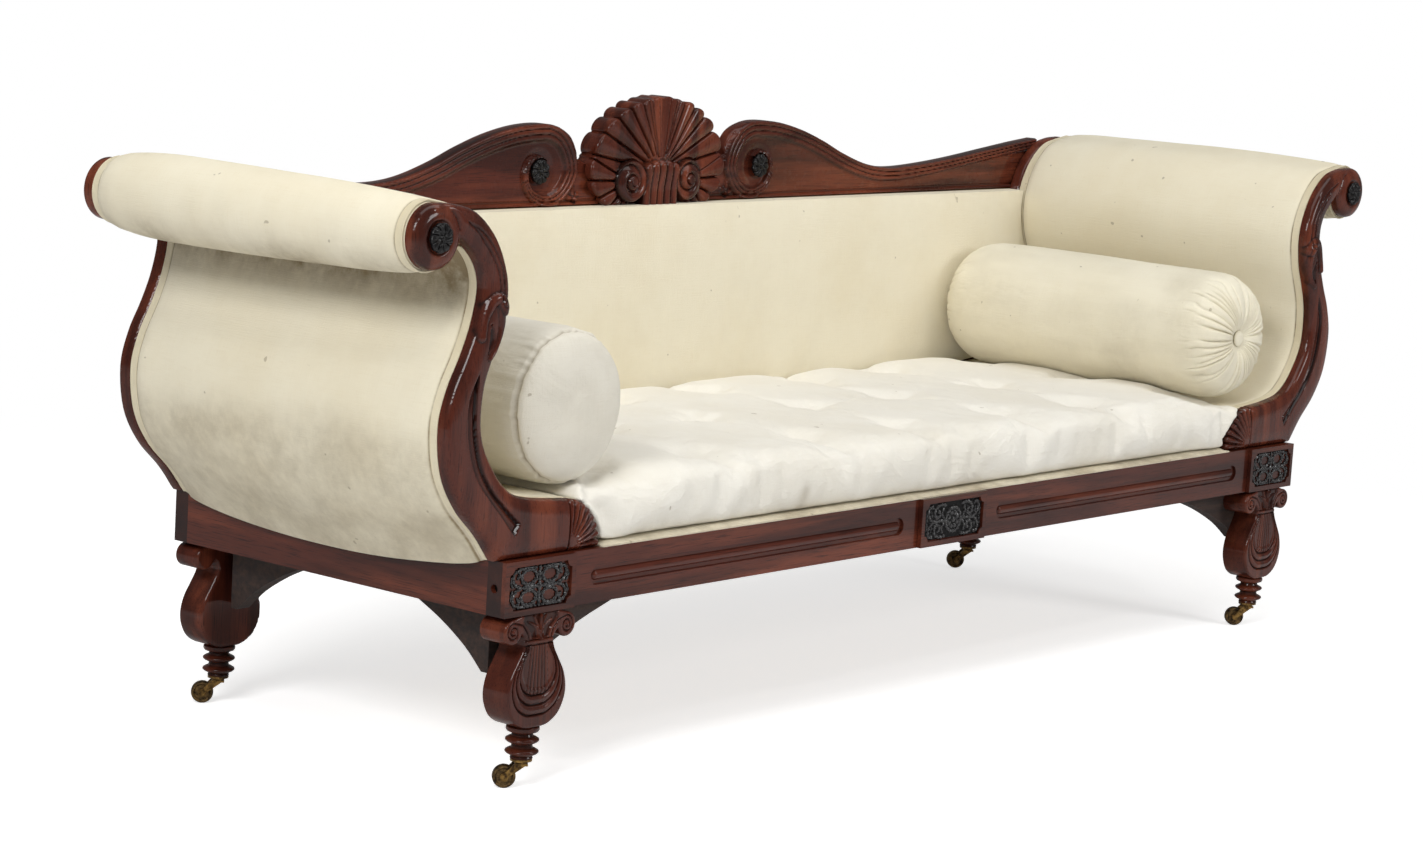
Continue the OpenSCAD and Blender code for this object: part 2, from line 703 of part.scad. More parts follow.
module horn_back_left() horn(-leg_offset, back_leg_y);
module horn_back_right() horn(leg_offset, back_leg_y);
module axle_front_left() axle(-leg_offset, front_leg_y);
module axle_front_right() axle(leg_offset, front_leg_y);
module axle_back_left() axle(-leg_offset, back_leg_y);
module axle_back_right() axle(leg_offset, back_leg_y);
module wheel_front_left() wheel(-leg_offset, front_leg_y);
module wheel_front_right() wheel(leg_offset, front_leg_y);
module wheel_back_left() wheel(-leg_offset, back_leg_y);
module wheel_back_right() wheel(leg_offset, back_leg_y);

// The facing of a scrolled end: foot with fan, curved upright and scroll
module facing(y_from, y_to) color([0.42, 0.18, 0.12]) {
    upright(y_from, y_to) polygon(concat(
        arm_inner_path, [[scroll_offset, scroll_z]], reversed(arm_outer_path)));
    translate([scroll_offset, y_to, scroll_z]) rotate([90, 0, 0])
        cylinder(r = scroll_radius, h = y_to - y_from, $fn = turn_facets);
}
module facing_front_right() facing(facing_front_y, arm_front_y);
module facing_front_left() left_hand() facing_front_right();
module facing_back_right() facing(arm_back_y, back_y);
module facing_back_left() left_hand() facing_back_right();

// A carved rosette that faces the front, with its back on the origin
module rosette() rotate([90, 0, 0]) {
    cylinder(r = rosette_radius, h = rosette_bed, $fn = turn_facets);
    cylinder(r = petal_radius, h = rosette_thickness, $fn = small_facets);
    for (i = [0 : 7]) rotate(i * 45) translate([petal_circle, 0, 0])
        cylinder(r = petal_radius * 0.8, h = (rosette_bed + rosette_thickness) / 2,
            $fn = small_facets);
}
rosette_bed = rosette_thickness / 2;
petal_circle = (rosette_radius + petal_radius) / 2;
module arm_rosettes() color([0.09, 0.09, 0.09]) for (side = [-1, 1]) {
    translate([side * scroll_offset, facing_front_y, scroll_z]) rosette();
}
module crest_rosettes() color([0.09, 0.09, 0.09]) for (side = [-1, 1]) {
    translate([side * crest_rosette_offset, back_y, crest_base + crest_rosette_rise])
        rosette();
}

// The timber inside an arm: a foot rail, four slats and the core of the roll
module arm_frame_right() color([0.62, 0.47, 0.3]) {
    outer = arm_outer_path;
    box([rail_inner_end - slat_width, arm_front_y, rail_top],
        [rail_inner_end + slat_thickness, arm_back_y, rail_top + 2 * slat_thickness]);
    for (share = slat_shares) {
        i = floor(share * (len(outer) - 1));
        n = path_normal(outer, i);
        depth = cover_thickness + slat_thickness / 2 + slat_gap;
        middle = outer[i] + n * depth;
        translate([middle[0], 0, middle[1]]) rotate([0, -atan2(n[1], n[0]), 0])
            translate([-slat_thickness / 2, arm_front_y, -slat_width / 2])
            cube([slat_thickness, arm_back_y - arm_front_y, slat_width]);
    }
    translate([scroll_offset, arm_back_y, scroll_z]) rotate([90, 0, 0])
        cylinder(r = core_radius, h = arm_back_y - arm_front_y, $fn = turn_facets);
}
module arm_frame_left() left_hand() arm_frame_right();

// A padded skin along a path in X and Z, with its face on the left of the path.
// The face swells at the middle of the arm's depth, and the last edge can hang lower
module skin(path, thickness, swell, hang, flat_start, lowest) {
    count = len(path);
    sections = 6;
    places = [for (j = [0 : sections]) for (i = [0 : count - 1]) [j / sections, i]];
    face = [for (p = places) skin_point(path, p, swell, 0, hang, flat_start, lowest)];
    back = [for (p = places) skin_point(path, p, 0, thickness, hang, flat_start, lowest)];
    base = len(face);
    last = sections * count;
    quads = concat(
        [for (j = [0 : sections - 1]) for (i = [0 : count - 2]) let (k = j * count + i)
            [k, k + 1, k + count + 1, k + count]],
        [for (j = [0 : sections - 1]) for (i = [0 : count - 2])
            let (k = base + j * count + i) [k, k + count, k + count + 1, k + 1]],
        [for (i = [0 : count - 2]) [i, base + i, base + i + 1, i + 1]],
        [for (i = [0 : count - 2]) let (k = last + i) [k, k + 1, base + k + 1, base + k]],
        [for (j = [0 : sections - 1]) let (k = j * count)
            [k, k + count, base + k + count, base + k]],
        [for (j = [0 : sections - 1]) let (k = j * count + count - 1)
            [k, base + k, base + k + count, k + count]]);
    polyhedron(concat(face, back), split_quads(quads), convexity = 6);
}
// One point of a skin, from its share of the depth and its place along the path
function skin_point(path, place, swell, inset, hang, flat_start, lowest) = let (
    i = place[1], last = len(path) - 1, bulge = 4 * place[0] * (1 - place[0]),
    ramp = max(0, min(1, (i - flat_start) / 6, (last - i) / 4)),
    drop = i == last ? hang * bulge : 0,
    n = path_normal(path, i),
    p = path[i] + n * (swell * bulge * ramp - inset))
    [p[0], arm_front_y + (arm_back_y - arm_front_y) * place[0],
        max(p[1], lowest) - drop];
function split_quads(quads) = [for (q = quads) for (h = [0, 1])
    h == 0 ? [q[0], q[2], q[1]] : [q[0], q[3], q[2]]];

// The padding and cloth from the seat up the inside of the arm and round its roll
roll_path = arc_points(scroll_offset, scroll_z, scroll_radius + roll_swell, 90, -165, 16);
pad_path = concat([for (i = [0 : len(arm_inner_path) - 1 - arm_steps]) arm_inner_path[i]],
    roll_path);
pad_flat_start = fan_steps + 3 * arm_steps;
module arm_pad_right() color([0.93, 0.89, 0.8])
    skin(pad_path, arm_pad_thickness, arm_pad_swell, 0, pad_flat_start, rail_top);
module arm_pad_left() left_hand() arm_pad_right();
// The cloth outside the arm, from the notch under the roll down over the end rail
cover_path = reversed([for (i = [0 : len(arm_outer_path) - 1 - arm_steps])
    arm_outer_path[i]]);
module arm_cover_right() color([0.9, 0.86, 0.76])
    skin(cover_path, cover_thickness, cover_swell, cover_hang, 0, 0);
module arm_cover_left() left_hand() arm_cover_right();

// The crest board: a low saddle behind the shell, a peak each side and a long sweep
module crest_board() color([0.42, 0.19, 0.12]) {
    sweep = smooth([for (s = crest_shares) [s[0] * crest_half, s[1] * crest_height]], 4);
    first_x = crest_shares[0][0] * crest_half;
    saddle = [first_x, crest_saddle_share * crest_height];
    half = concat([saddle], sweep, [[crest_half, 0]]);
    other = [for (p = reversed(half)) [-p[0], p[1]]];
    translate([0, 0, crest_base]) upright(back_y, crest_back_y)
        polygon(concat(half, other));
}
// The lobed outline of the shell about its own centre
shell_centre = shell_height / 3;
shell_low_angle = -38;
function shell_radius(a) = let (
    b = sin(a) > 0 ? shell_height - shell_centre : shell_centre * 1.5)
    1 / norm([cos(a) / shell_half_width, sin(a) / b]);
function shell_outline(scale) = let (
    steps = 6, span = (180 - 2 * shell_low_angle) / shell_lobes)
    [for (i = [0 : shell_lobes - 1]) for (j = [0 : steps - 1]) let (
        a = shell_low_angle + span * (i + j / steps),
        r = scale * shell_radius(a) * (0.95 + 0.05 * sin(180 * j / steps)))
        [r * cos(a), r * sin(a)]];
module crest_shell() color([0.4, 0.18, 0.11]) translate([0, 0, crest_base]) {
    step_y = shell_projection / 3;
    difference() {
        translate([0, 0, shell_centre]) {
            upright(shell_front_y + 2 * step_y, back_y) polygon(shell_outline(1));
            upright(shell_front_y + step_y, back_y) polygon(shell_outline(0.9));
            upright(shell_front_y, back_y) polygon(shell_outline(0.72));
        }
        box([-shell_half_width, shell_front_y - overrun, -shell_height],
            [shell_half_width, back_y + overrun, 0]);
    }
    intersection() {
        translate([0, 0, shell_centre]) upright(back_y, crest_back_y)
            polygon(shell_outline(0.99));
        box([-shell_half_width, back_y, crest_saddle_share * crest_height],
            [shell_half_width, crest_back_y, shell_height]);
    }
    for (side = [-1, 1]) {
        translate([side * shell_scroll_offset, back_y, shell_scroll_radius + step_y])
            rotate([90, 0, 0])
            cylinder(r = shell_scroll_radius, h = shell_projection + step_y,
                $fn = turn_facets);
    }
    rib_pitch = 2 * (shell_scroll_offset - shell_scroll_radius) / 5;
    for (i = [-2 : 2]) {
        translate([i * rib_pitch, shell_front_y, 0])
            cylinder(r = 0.56 * rib_pitch, h = 2 * shell_scroll_radius + 2 * step_y,
                $fn = small_facets);
    }
}

// The posts behind the padding of the back. The inner posts run down behind the back rail.
// The end posts are sawn on their outer edge to stand against the facings of the arms
end_post_x = foot_tip + end_post_inset;
module back_posts() color([0.6, 0.45, 0.28]) {
    for (side = [-1, 0, 1]) {
        middle = side * inner_post_offset;
        box([middle - back_member_width / 2, back_y, rail_underside],
            [middle + back_member_width / 2, back_frame_y, crest_base]);
    }
    for (side = [0, 1]) mirror([side, 0, 0]) upright(back_y, back_frame_y)
        polygon(concat(back_edge, [[end_post_x, crest_base], [end_post_x, rail_top]]));
}
// The rails between the posts, at the foot and at the head of each bay
module back_rails() color([0.57, 0.42, 0.25]) {
    for (side = [0, 1], z = [rail_top, crest_base - back_member_width]) mirror([side, 0, 0]) {
        box([back_member_width / 2, back_y, z],
            [inner_post_offset - back_member_width / 2, back_frame_y, z + back_member_width]);
        box([inner_post_offset + back_member_width / 2, back_y, z],
            [end_post_x, back_frame_y, z + back_member_width]);
    }
}
back_frame_y = crest_back_y - back_cloth_thickness;
back_edge = smooth([for (s = back_edge_shares)
    [foot_tip + s[0] * arm_reach, rail_top + s[1] * crest_rise]], 3);
module back_cloth() color([0.88, 0.84, 0.74]) upright(back_frame_y, crest_back_y) {
    polygon(concat(back_edge, [for (p = reversed(back_edge)) [-p[0], p[1]]]));
}
// Distance of the arm's inner face from the middle, by height
arm_face_table = [for (p = smooth([for (i = [2 : 13]) arm_inner_points[i]], arm_steps))
    [p[1], p[0]]];
// Rows of the back padding, as heights and half widths
back_low_half = foot_tip - squab_gap - back_pad_gap;
back_shares = [0, 0.08, 0.2, 0.35, 0.5, 0.65, 0.8, 0.93, 1];
back_turn_z = arm_inner_points[2][1] + back_pad_gap;
back_rows = concat([[deck_top, back_low_half], [fan_z + fan_radius, back_low_half]],
    [for (s = back_shares) let (z = back_turn_z + s * (crest_base - back_turn_z))
        [z, lookup(z, arm_face_table) - back_pad_gap]]);
// The padding of the back: a flat back and a swollen face
module back_pad() color([0.91, 0.87, 0.76]) {
    columns = 18;
    rows = len(back_rows) - 1;
    front = [for (j = [0 : rows]) for (i = [0 : columns]) let (
        u = 2 * i / columns - 1, w = 2 * j / rows - 1,
        swell = back_pad_swell * (1 - pow(abs(u), 6)) * (1 - pow(abs(w), 4)))
        [u * back_rows[j][1], back_pad_front_y - swell, back_rows[j][0]]];
    back = [for (p = front) [p[0], back_y, p[2]]];
    closed_grid(front, back, columns, rows);
}
// A solid between two grids of the same size, the first in front of the second
module closed_grid(front, back, columns, rows) {
    base = len(front);
    wide = columns + 1;
    top = rows * wide;
    quads = concat(
        [for (j = [0 : rows - 1]) for (i = [0 : columns - 1]) let (k = j * wide + i)
            [k, k + wide, k + wide + 1, k + 1]],
        [for (j = [0 : rows - 1]) for (i = [0 : columns - 1])
            let (k = base + j * wide + i) [k, k + 1, k + wide + 1, k + wide]],
        [for (i = [0 : columns - 1]) [i, i + 1, base + i + 1, base + i]],
        [for (i = [0 : columns - 1]) let (k = top + i) [k, base + k, base + k + 1, k + 1]],
        [for (j = [0 : rows - 1]) let (k = j * wide)
            [k, base + k, base + k + wide, k + wide]],
        [for (j = [0 : rows - 1]) let (k = j * wide + columns)
            [k, k + wide, base + k + wide, base + k]]);
    polyhedron(concat(front, back), split_quads(quads), convexity = 4);
}

// Straps across and along the frame, under the deck
module seat_webbing() color([0.7, 0.6, 0.42]) {
    pitch = 2 * rail_inner_end / strap_count;
    for (i = [0 : strap_count - 1]) {
        translate([(i + 0.5) * pitch - rail_inner_end - strap_width / 2,
            rail_inner_front, web_top - strap_thickness])
            cube([strap_width, rail_inner_back - rail_inner_front, strap_thickness]);
    }
    for (share = [0.2, 0.5, 0.8]) {
        y = rail_inner_front + share * (rail_inner_back - rail_inner_front);
        translate([-rail_inner_end, y - strap_width / 2, web_top - 2 * strap_thickness])
            cube([2 * rail_inner_end, strap_width, strap_thickness]);
    }
}
// The stuffed deck, with a thin edge that shows over the front rail
module seat_deck() color([0.92, 0.88, 0.78]) {
    box([-rail_inner_end, rail_inner_front, web_top],
        [rail_inner_end, rail_inner_back, rail_top]);
    box([-foot_tip + squab_gap, deck_front_y, rail_top],
        [foot_tip - squab_gap, back_y, deck_top]);
}

// Half length of the squab at a height: it follows the fans of the feet, then laps them
function squab_half(z) = z < fan_z + fan_radius - squab_gap
    ? fan_x - sqrt(pow(fan_radius, 2) - pow(z - fan_z, 2)) - squab_gap
    : fan_x - squab_draw;
squab_draw = 12;
// Sum of the hollows of the sewn tufts at a place on the squab
function tuft_hollow(x, y) = let (
    half = fan_x, deep = squab_back_y - squab_front_y)
    max([for (c = [0 : tuft_columns - 1]) for (r = [0 : tuft_rows - 1]) let (
        cx = half * ((2 * c + 1) / tuft_columns - 1),
        cy = squab_front_y + deep * (r + 0.5) / tuft_rows)
        exp(-pow(norm([x - cx, y - cy]) / tuft_spread, 2))]);
// Number of a vertex of the crown: the border shares the last ring of the sides
function crown_vertex(i, j, columns, rows, first) = let (
    ring = 2 * (columns + rows), wide = columns - 1)
    j == 0 ? first + i
    : j == rows ? first + columns + rows + columns - i
    : i == columns ? first + columns + j
    : i == 0 ? first + (2 * columns + 2 * rows - j) % ring
    : first + ring + (j - 1) * wide + i - 1;
module squab() color([0.95, 0.93, 0.87]) {
    columns = 42;
    rows = 15;
    round_trip = concat(
        [for (i = [0 : columns - 1]) [2 * i / columns - 1, 0]],
        [for (j = [0 : rows - 1]) [1, j / rows]],
        [for (i = [columns : -1 : 1]) [2 * i / columns - 1, 1]],
        [for (j = [rows : -1 : 1]) [-1, j / rows]]);
    ring = len(round_trip);
    rings = len(squab_ring_shares);
    sides = [for (s = squab_ring_shares) let (z = deck_top + s[0] * squab_thickness,
        draw = s[1] * squab_draw) for (p = round_trip)
        squab_point(p, squab_half(z), draw, z)];
    top_z = deck_top + squab_ring_shares[rings - 1][0] * squab_thickness;
    top_draw = squab_ring_shares[rings - 1][1] * squab_draw;
    inside = [for (j = [1 : rows - 1]) for (i = [1 : columns - 1]) let (
        u = 2 * i / columns - 1, v = j / rows,
        p = squab_point([u, v], squab_half(top_z), top_draw, top_z),
        rise = (deck_top + squab_thickness - top_z)
            * (1 - pow(abs(u), 8)) * (1 - pow(abs(2 * v - 1), 6)))
        [p[0], p[1], p[2] + rise - tuft_depth * tuft_hollow(p[0], p[1])]];
    first = (rings - 1) * ring;
    underside = [0, (squab_front_y + squab_back_y) / 2, deck_top];
    centre = len(sides) + len(inside);
    bottom = [for (i = [0 : ring - 1]) [centre, i, (i + 1) % ring]];
    walls = [for (k = [0 : rings - 2]) for (i = [0 : ring - 1]) let (
        a = k * ring + i, b = k * ring + (i + 1) % ring) [a, b, b + ring, a + ring]];
    crown = [for (j = [0 : rows - 1]) for (i = [0 : columns - 1])
        [for (c = [[0, 0], [1, 0], [1, 1], [0, 1]])
            crown_vertex(i + c[0], j + c[1], columns, rows, first)]];
    polyhedron(concat(sides, inside, [underside]),
        concat(bottom, split_quads(concat(walls, crown))), convexity = 6);
}
function squab_point(p, half, draw, z) = [p[0] * half,
    squab_front_y + draw + p[1] * (squab_back_y - squab_front_y - 2 * draw), z];

// A bolster along Y whose outline is a rounded rectangle, centred on the origin
module bolster_body() {
    steps = 12;
    q = 2 / bolster_power;
    half = bolster_length / 2;
    outline = [for (i = [-steps : steps]) let (a = 90 * i / steps, s = sin(a))
        [bolster_radius * pow(max(cos(a), 0), q), sign(s) * half * pow(abs(s), q)]];
    rotate([90, 0, 0]) rotate_extrude($fn = turn_facets) polygon(outline);
}
module bolster_left() color([0.88, 0.86, 0.81])
    translate([-bolster_offset, bolster_y, bolster_z]) bolster_body();
// The right bolster has a pocket at each end for its covered button
module bolster_right() color([0.92, 0.88, 0.79])
    translate([bolster_offset, bolster_y, bolster_z]) difference() {
        bolster_body();
        for (side = [-1, 1]) translate([0, side * (bolster_length / 2 + overrun), 0])
            rotate([side * 90, 0, 0])
            cylinder(r = button_radius + bolt_gap, h = button_thickness / 2 + overrun,
                $fn = small_facets);
    }
module bolster_buttons() color([0.9, 0.86, 0.77])
    translate([bolster_offset, bolster_y, bolster_z]) for (side = [-1, 1]) {
        translate([0, side * (bolster_length - button_thickness) / 2, 0])
            rotate([-side * 90, 0, 0]) intersection() {
                cylinder(r = button_radius, h = button_thickness, $fn = small_facets);
                translate([0, 0, button_thickness - 2 * button_radius])
                    sphere(r = 2 * button_radius, $fn = turn_facets);
            }
    }

front_rail();
back_rail();
end_rail_left();
end_rail_right();
seat_cross_rails();
block_left();
block_centre();
block_right();
plaque_left();
plaque_centre();
plaque_right();
frame_bolts();
leg_front_left();
leg_front_right();
leg_back_left();
leg_back_right();
turned_feet();
leg_brackets();
glue_blocks();
caster_plates();
caster_screws();
horn_front_left();
horn_front_right();
horn_back_left();
horn_back_right();
axle_front_left();
axle_front_right();
axle_back_left();
axle_back_right();
wheel_front_left();
wheel_front_right();
wheel_back_left();
wheel_back_right();
facing_front_left();
facing_front_right();
facing_back_left();
facing_back_right();
arm_rosettes();
arm_frame_left();
arm_frame_right();
arm_pad_left();
arm_pad_right();
arm_cover_left();
arm_cover_right();
crest_board();
crest_shell();
crest_rosettes();
back_posts();
back_rails();
back_pad();
back_cloth();
seat_webbing();
seat_deck();
squab();
bolster_left();
bolster_right();
bolster_buttons();
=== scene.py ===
"""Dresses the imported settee: carved and polished mahogany, plain cotton covers, loose cushions.

Metres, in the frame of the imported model: X along the seat, -Y to the front, Z up.
"""

import math

import bmesh
import bpy
import numpy as np
from mathutils import Matrix, Vector


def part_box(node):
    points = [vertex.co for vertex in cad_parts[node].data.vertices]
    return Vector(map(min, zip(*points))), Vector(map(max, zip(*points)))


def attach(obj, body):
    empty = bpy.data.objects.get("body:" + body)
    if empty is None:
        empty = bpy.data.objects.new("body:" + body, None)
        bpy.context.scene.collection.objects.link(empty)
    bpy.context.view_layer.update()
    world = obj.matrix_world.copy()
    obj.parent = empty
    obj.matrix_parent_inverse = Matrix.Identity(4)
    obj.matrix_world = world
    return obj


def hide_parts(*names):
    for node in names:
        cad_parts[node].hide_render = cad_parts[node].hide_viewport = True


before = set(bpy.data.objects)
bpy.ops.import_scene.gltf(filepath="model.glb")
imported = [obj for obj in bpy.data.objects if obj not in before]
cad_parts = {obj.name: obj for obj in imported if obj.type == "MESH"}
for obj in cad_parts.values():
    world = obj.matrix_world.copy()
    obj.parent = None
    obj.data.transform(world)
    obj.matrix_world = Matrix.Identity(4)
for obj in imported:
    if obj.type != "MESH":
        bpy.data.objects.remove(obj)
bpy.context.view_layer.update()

# ---- Camera
# It stands before the left arm, as far off as a studio camera with a long lens.
CAMERA_PLACE = (-4.3191, -3.4038, 1.1899)
CAMERA_TURN, CAMERA_TILT, CAMERA_ROLL = (math.radians(a) for a in (50.50, -8.45, 3.51))
PICTURE_WIDTH, FOCAL_PIXELS, FILM_WIDTH = 1423, 3525.8, 36.0

ahead = Vector((math.sin(CAMERA_TURN) * math.cos(CAMERA_TILT),
                math.cos(CAMERA_TURN) * math.cos(CAMERA_TILT), math.sin(CAMERA_TILT)))
level = Vector((math.cos(CAMERA_TURN), -math.sin(CAMERA_TURN), 0))
upright = level.cross(ahead)
across = level * math.cos(CAMERA_ROLL) + upright * math.sin(CAMERA_ROLL)
above = upright * math.cos(CAMERA_ROLL) - level * math.sin(CAMERA_ROLL)
camera_data = bpy.data.cameras.new("photo_camera")
camera_data.sensor_width = FILM_WIDTH
camera_data.lens = FOCAL_PIXELS / PICTURE_WIDTH * FILM_WIDTH
camera = bpy.data.objects.new("photo_camera", camera_data)
camera.matrix_world = (Matrix.Translation(CAMERA_PLACE)
                       @ Matrix((across, above, -ahead)).transposed().to_4x4())
bpy.context.collection.objects.link(camera)
bpy.context.scene.camera = camera
bpy.context.scene.view_settings.view_transform = "Standard"


# ---- Finishes
# Each finish is a node tree. A Field is one output in it, and a sum of Fields adds Math nodes.
class Field:
    def __init__(self, nodes, socket):
        self.nodes, self.socket = nodes, socket

    def math(self, operation, *values):
        return self.nodes.node("ShaderNodeMath", {"operation": operation}, dict(enumerate(values)))

    def __add__(self, other):
        return self.math("ADD", self, other)

    def __sub__(self, other):
        return self.math("SUBTRACT", self, other)

    def __rsub__(self, other):
        return self.math("SUBTRACT", other, self)

    def __mul__(self, other):
        return self.math("MULTIPLY", self, other)

    __radd__, __rmul__ = __add__, __mul__

    def sine(self):
        return self.math("SINE", self)

    def absolute(self):
        return self.math("ABSOLUTE", self)

    def between(self, low, high):
        """0 at low and 1 at high, with a soft step between them."""
        return self.nodes.node("ShaderNodeMapRange", {"interpolation_type": "SMOOTHSTEP"},
                                {"Value": self, "From Min": low, "From Max": high})


class Nodes:
    def __init__(self, tree):
        self.tree = tree
        tree.nodes.clear()

    def node(self, kind, settings=None, sockets=None, out=0):
        """A node of a kind: its settings come first, then the values or Fields of its sockets."""
        made = self.tree.nodes.new(kind)
        for key, value in (settings or {}).items():
            setattr(made, key, value)
        for key, value in (sockets or {}).items():
            if isinstance(value, Field):
                self.tree.links.new(value.socket, made.inputs[key])
            else:
                made.inputs[key].default_value = value
        return Field(self, made.outputs[out]) if len(made.outputs) else made


class Finish(Nodes):
    def __init__(self, name):
        self.material = bpy.data.materials.new(name)
        self.material.use_nodes = True
        super().__init__(self.material.node_tree)

    def place(self, scale=(1, 1, 1), turn=(0, 0, 0)):
        where = self.node("ShaderNodeTexCoord", out="Object")
        return self.node("ShaderNodeMapping", None,
                         {"Vector": where, "Rotation": turn, "Scale": scale})

    def noise(self, vector, scale, detail=2.0, roughness=0.5, twist=0.0):
        return self.node("ShaderNodeTexNoise", None, {
            "Vector": vector, "Scale": scale, "Detail": detail, "Roughness": roughness,
            "Distortion": twist})

    def part(self, vector, axis):
        return self.node("ShaderNodeSeparateXYZ", None, {0: vector}, out=axis)

    def mix(self, share, first, second, blend="MIX"):
        return self.node("ShaderNodeMix", {"data_type": "RGBA", "blend_type": blend},
                         {0: share, 6: first, 7: second}, out=2)

    def attribute(self, name):
        return self.node("ShaderNodeAttribute", {"attribute_name": name}, out="Fac")

    def bump(self, height, distance, strength=1.0):
        return self.node("ShaderNodeBump", None, {
            "Height": height, "Distance": distance, "Strength": strength})

    def surface(self, sockets):
        self.node("ShaderNodeOutputMaterial", None, {
            "Surface": self.node("ShaderNodeBsdfPrincipled", None, sockets)})
        return self.material


def rgb(*screen):
    """A colour as a screen shows it, 0 to 255, in the linear values that a shader takes."""
    return tuple(v / 12.92 if v <= 0.04045 else ((v + 0.055) / 1.055) ** 2.4
                 for v in (part / 255 for part in screen)) + (1.0,)


# ---- Studio
# A white floor that keeps the settee's soft shadow. A wide lamp hangs overhead, one stands in
# front and one on the left, and two small ones put sparks on the polish.
FLOOR_HALF = 9.0
FLOOR_PAPER, PURE_WHITE = (0.86, 0.86, 0.865, 1), (1, 1, 1, 1)
FLOOR_LIFT, FLOOR_MIRRORED = 0.62, 0.2
FLOOR_FADE = (1.4, 2.6)
WORLD_STRENGTH = 0.22


def linked(name, data):
    """An object that shows its data in the scene."""
    made = bpy.data.objects.new(name, data)
    bpy.context.collection.objects.link(made)
    return made


def ray(nodes, kind):
    return nodes.node("ShaderNodeLightPath", out=f"Is {kind} Ray")


floor_mesh = bpy.data.meshes.new("studio_floor")
floor_mesh.from_pydata([(a * FLOOR_HALF, b * FLOOR_HALF, 0)
                        for a, b in ((-1, -1), (1, -1), (1, 1), (-1, 1))], [], [(0, 1, 2, 3)])
paper = Finish("floor_paper")
seen = ray(paper, "Camera") + ray(paper, "Glossy") * FLOOR_MIRRORED
far_off = paper.node("ShaderNodeVectorMath", {"operation": "LENGTH"}, {0: paper.place()}, "Value")
lit = paper.node("ShaderNodeAddShader", None, {
    0: paper.node("ShaderNodeBsdfDiffuse", None, {"Color": FLOOR_PAPER}),
    1: paper.node("ShaderNodeEmission", None,
                  {"Color": PURE_WHITE, "Strength": seen * FLOOR_LIFT})})
white = paper.node("ShaderNodeEmission", None, {"Color": PURE_WHITE, "Strength": 1.0})
paper.node("ShaderNodeOutputMaterial", None, {
    "Surface": paper.node("ShaderNodeMixShader", None, {
        0: far_off.between(*FLOOR_FADE) * seen, 1: lit, 2: white})})
floor_mesh.materials.append(paper.material)
linked("studio_floor", floor_mesh)

world = bpy.data.worlds.new("studio_world")
bpy.context.scene.world = world
world.use_nodes = True
air = Nodes(world.node_tree)
air.node("ShaderNodeOutputWorld", None, {"Surface": air.node("ShaderNodeBackground", None, {
    "Color": PURE_WHITE,
    "Strength": WORLD_STRENGTH + (ray(air, "Camera") + ray(air, "Transmission"))
    * (1 - WORLD_STRENGTH)})})


def lamp(name, place, aim, size, power):
    """A lamp at a place, turned to what it aims at; its size is in metres, its power in watts."""
    data = bpy.data.lights.new(name, "AREA")
    data.shape, (data.size, data.size_y), data.energy = "RECTANGLE", size, power
    made = linked(name, data)
    made.location = place
    made.rotation_euler = (Vector(aim) - Vector(place)).to_track_quat("-Z", "Y").to_euler()


lamp("overhead_lamp", (-0.1, -0.7, 3.5), (0, 0, 0.3), (3.8, 1.7), 50)
lamp("front_lamp", (1.6, -4.4, 2.0), (0.3, 0, 0.5), (1.5, 1.2), 59)
lamp("left_lamp", (-4.1, -1.2, 2.8), (-0.8, 0, 0.5), (1.5, 1.2), 92)
lamp("left_sparkle", (-2.5, -1.6, 3.0), (-0.8, -0.2, 0.6), (0.32, 0.32), 7.5)
lamp("right_sparkle", (0.9, -2.6, 3.1), (0.4, 0, 0.6), (0.32, 0.32), 8)


# ---- Seat frame
# Straight rails of polished mahogany, mortised at the corners and drawn up with sunk bolts.
# The long panels are sunk with a gouge and keep a raised band. Polish has darkened the wood.
RED_DARK, RED_MID, RED_LIGHT = rgb(42, 17, 12), rgb(86, 39, 27), rgb(120, 60, 40)
RED_PORE = rgb(28, 12, 9)


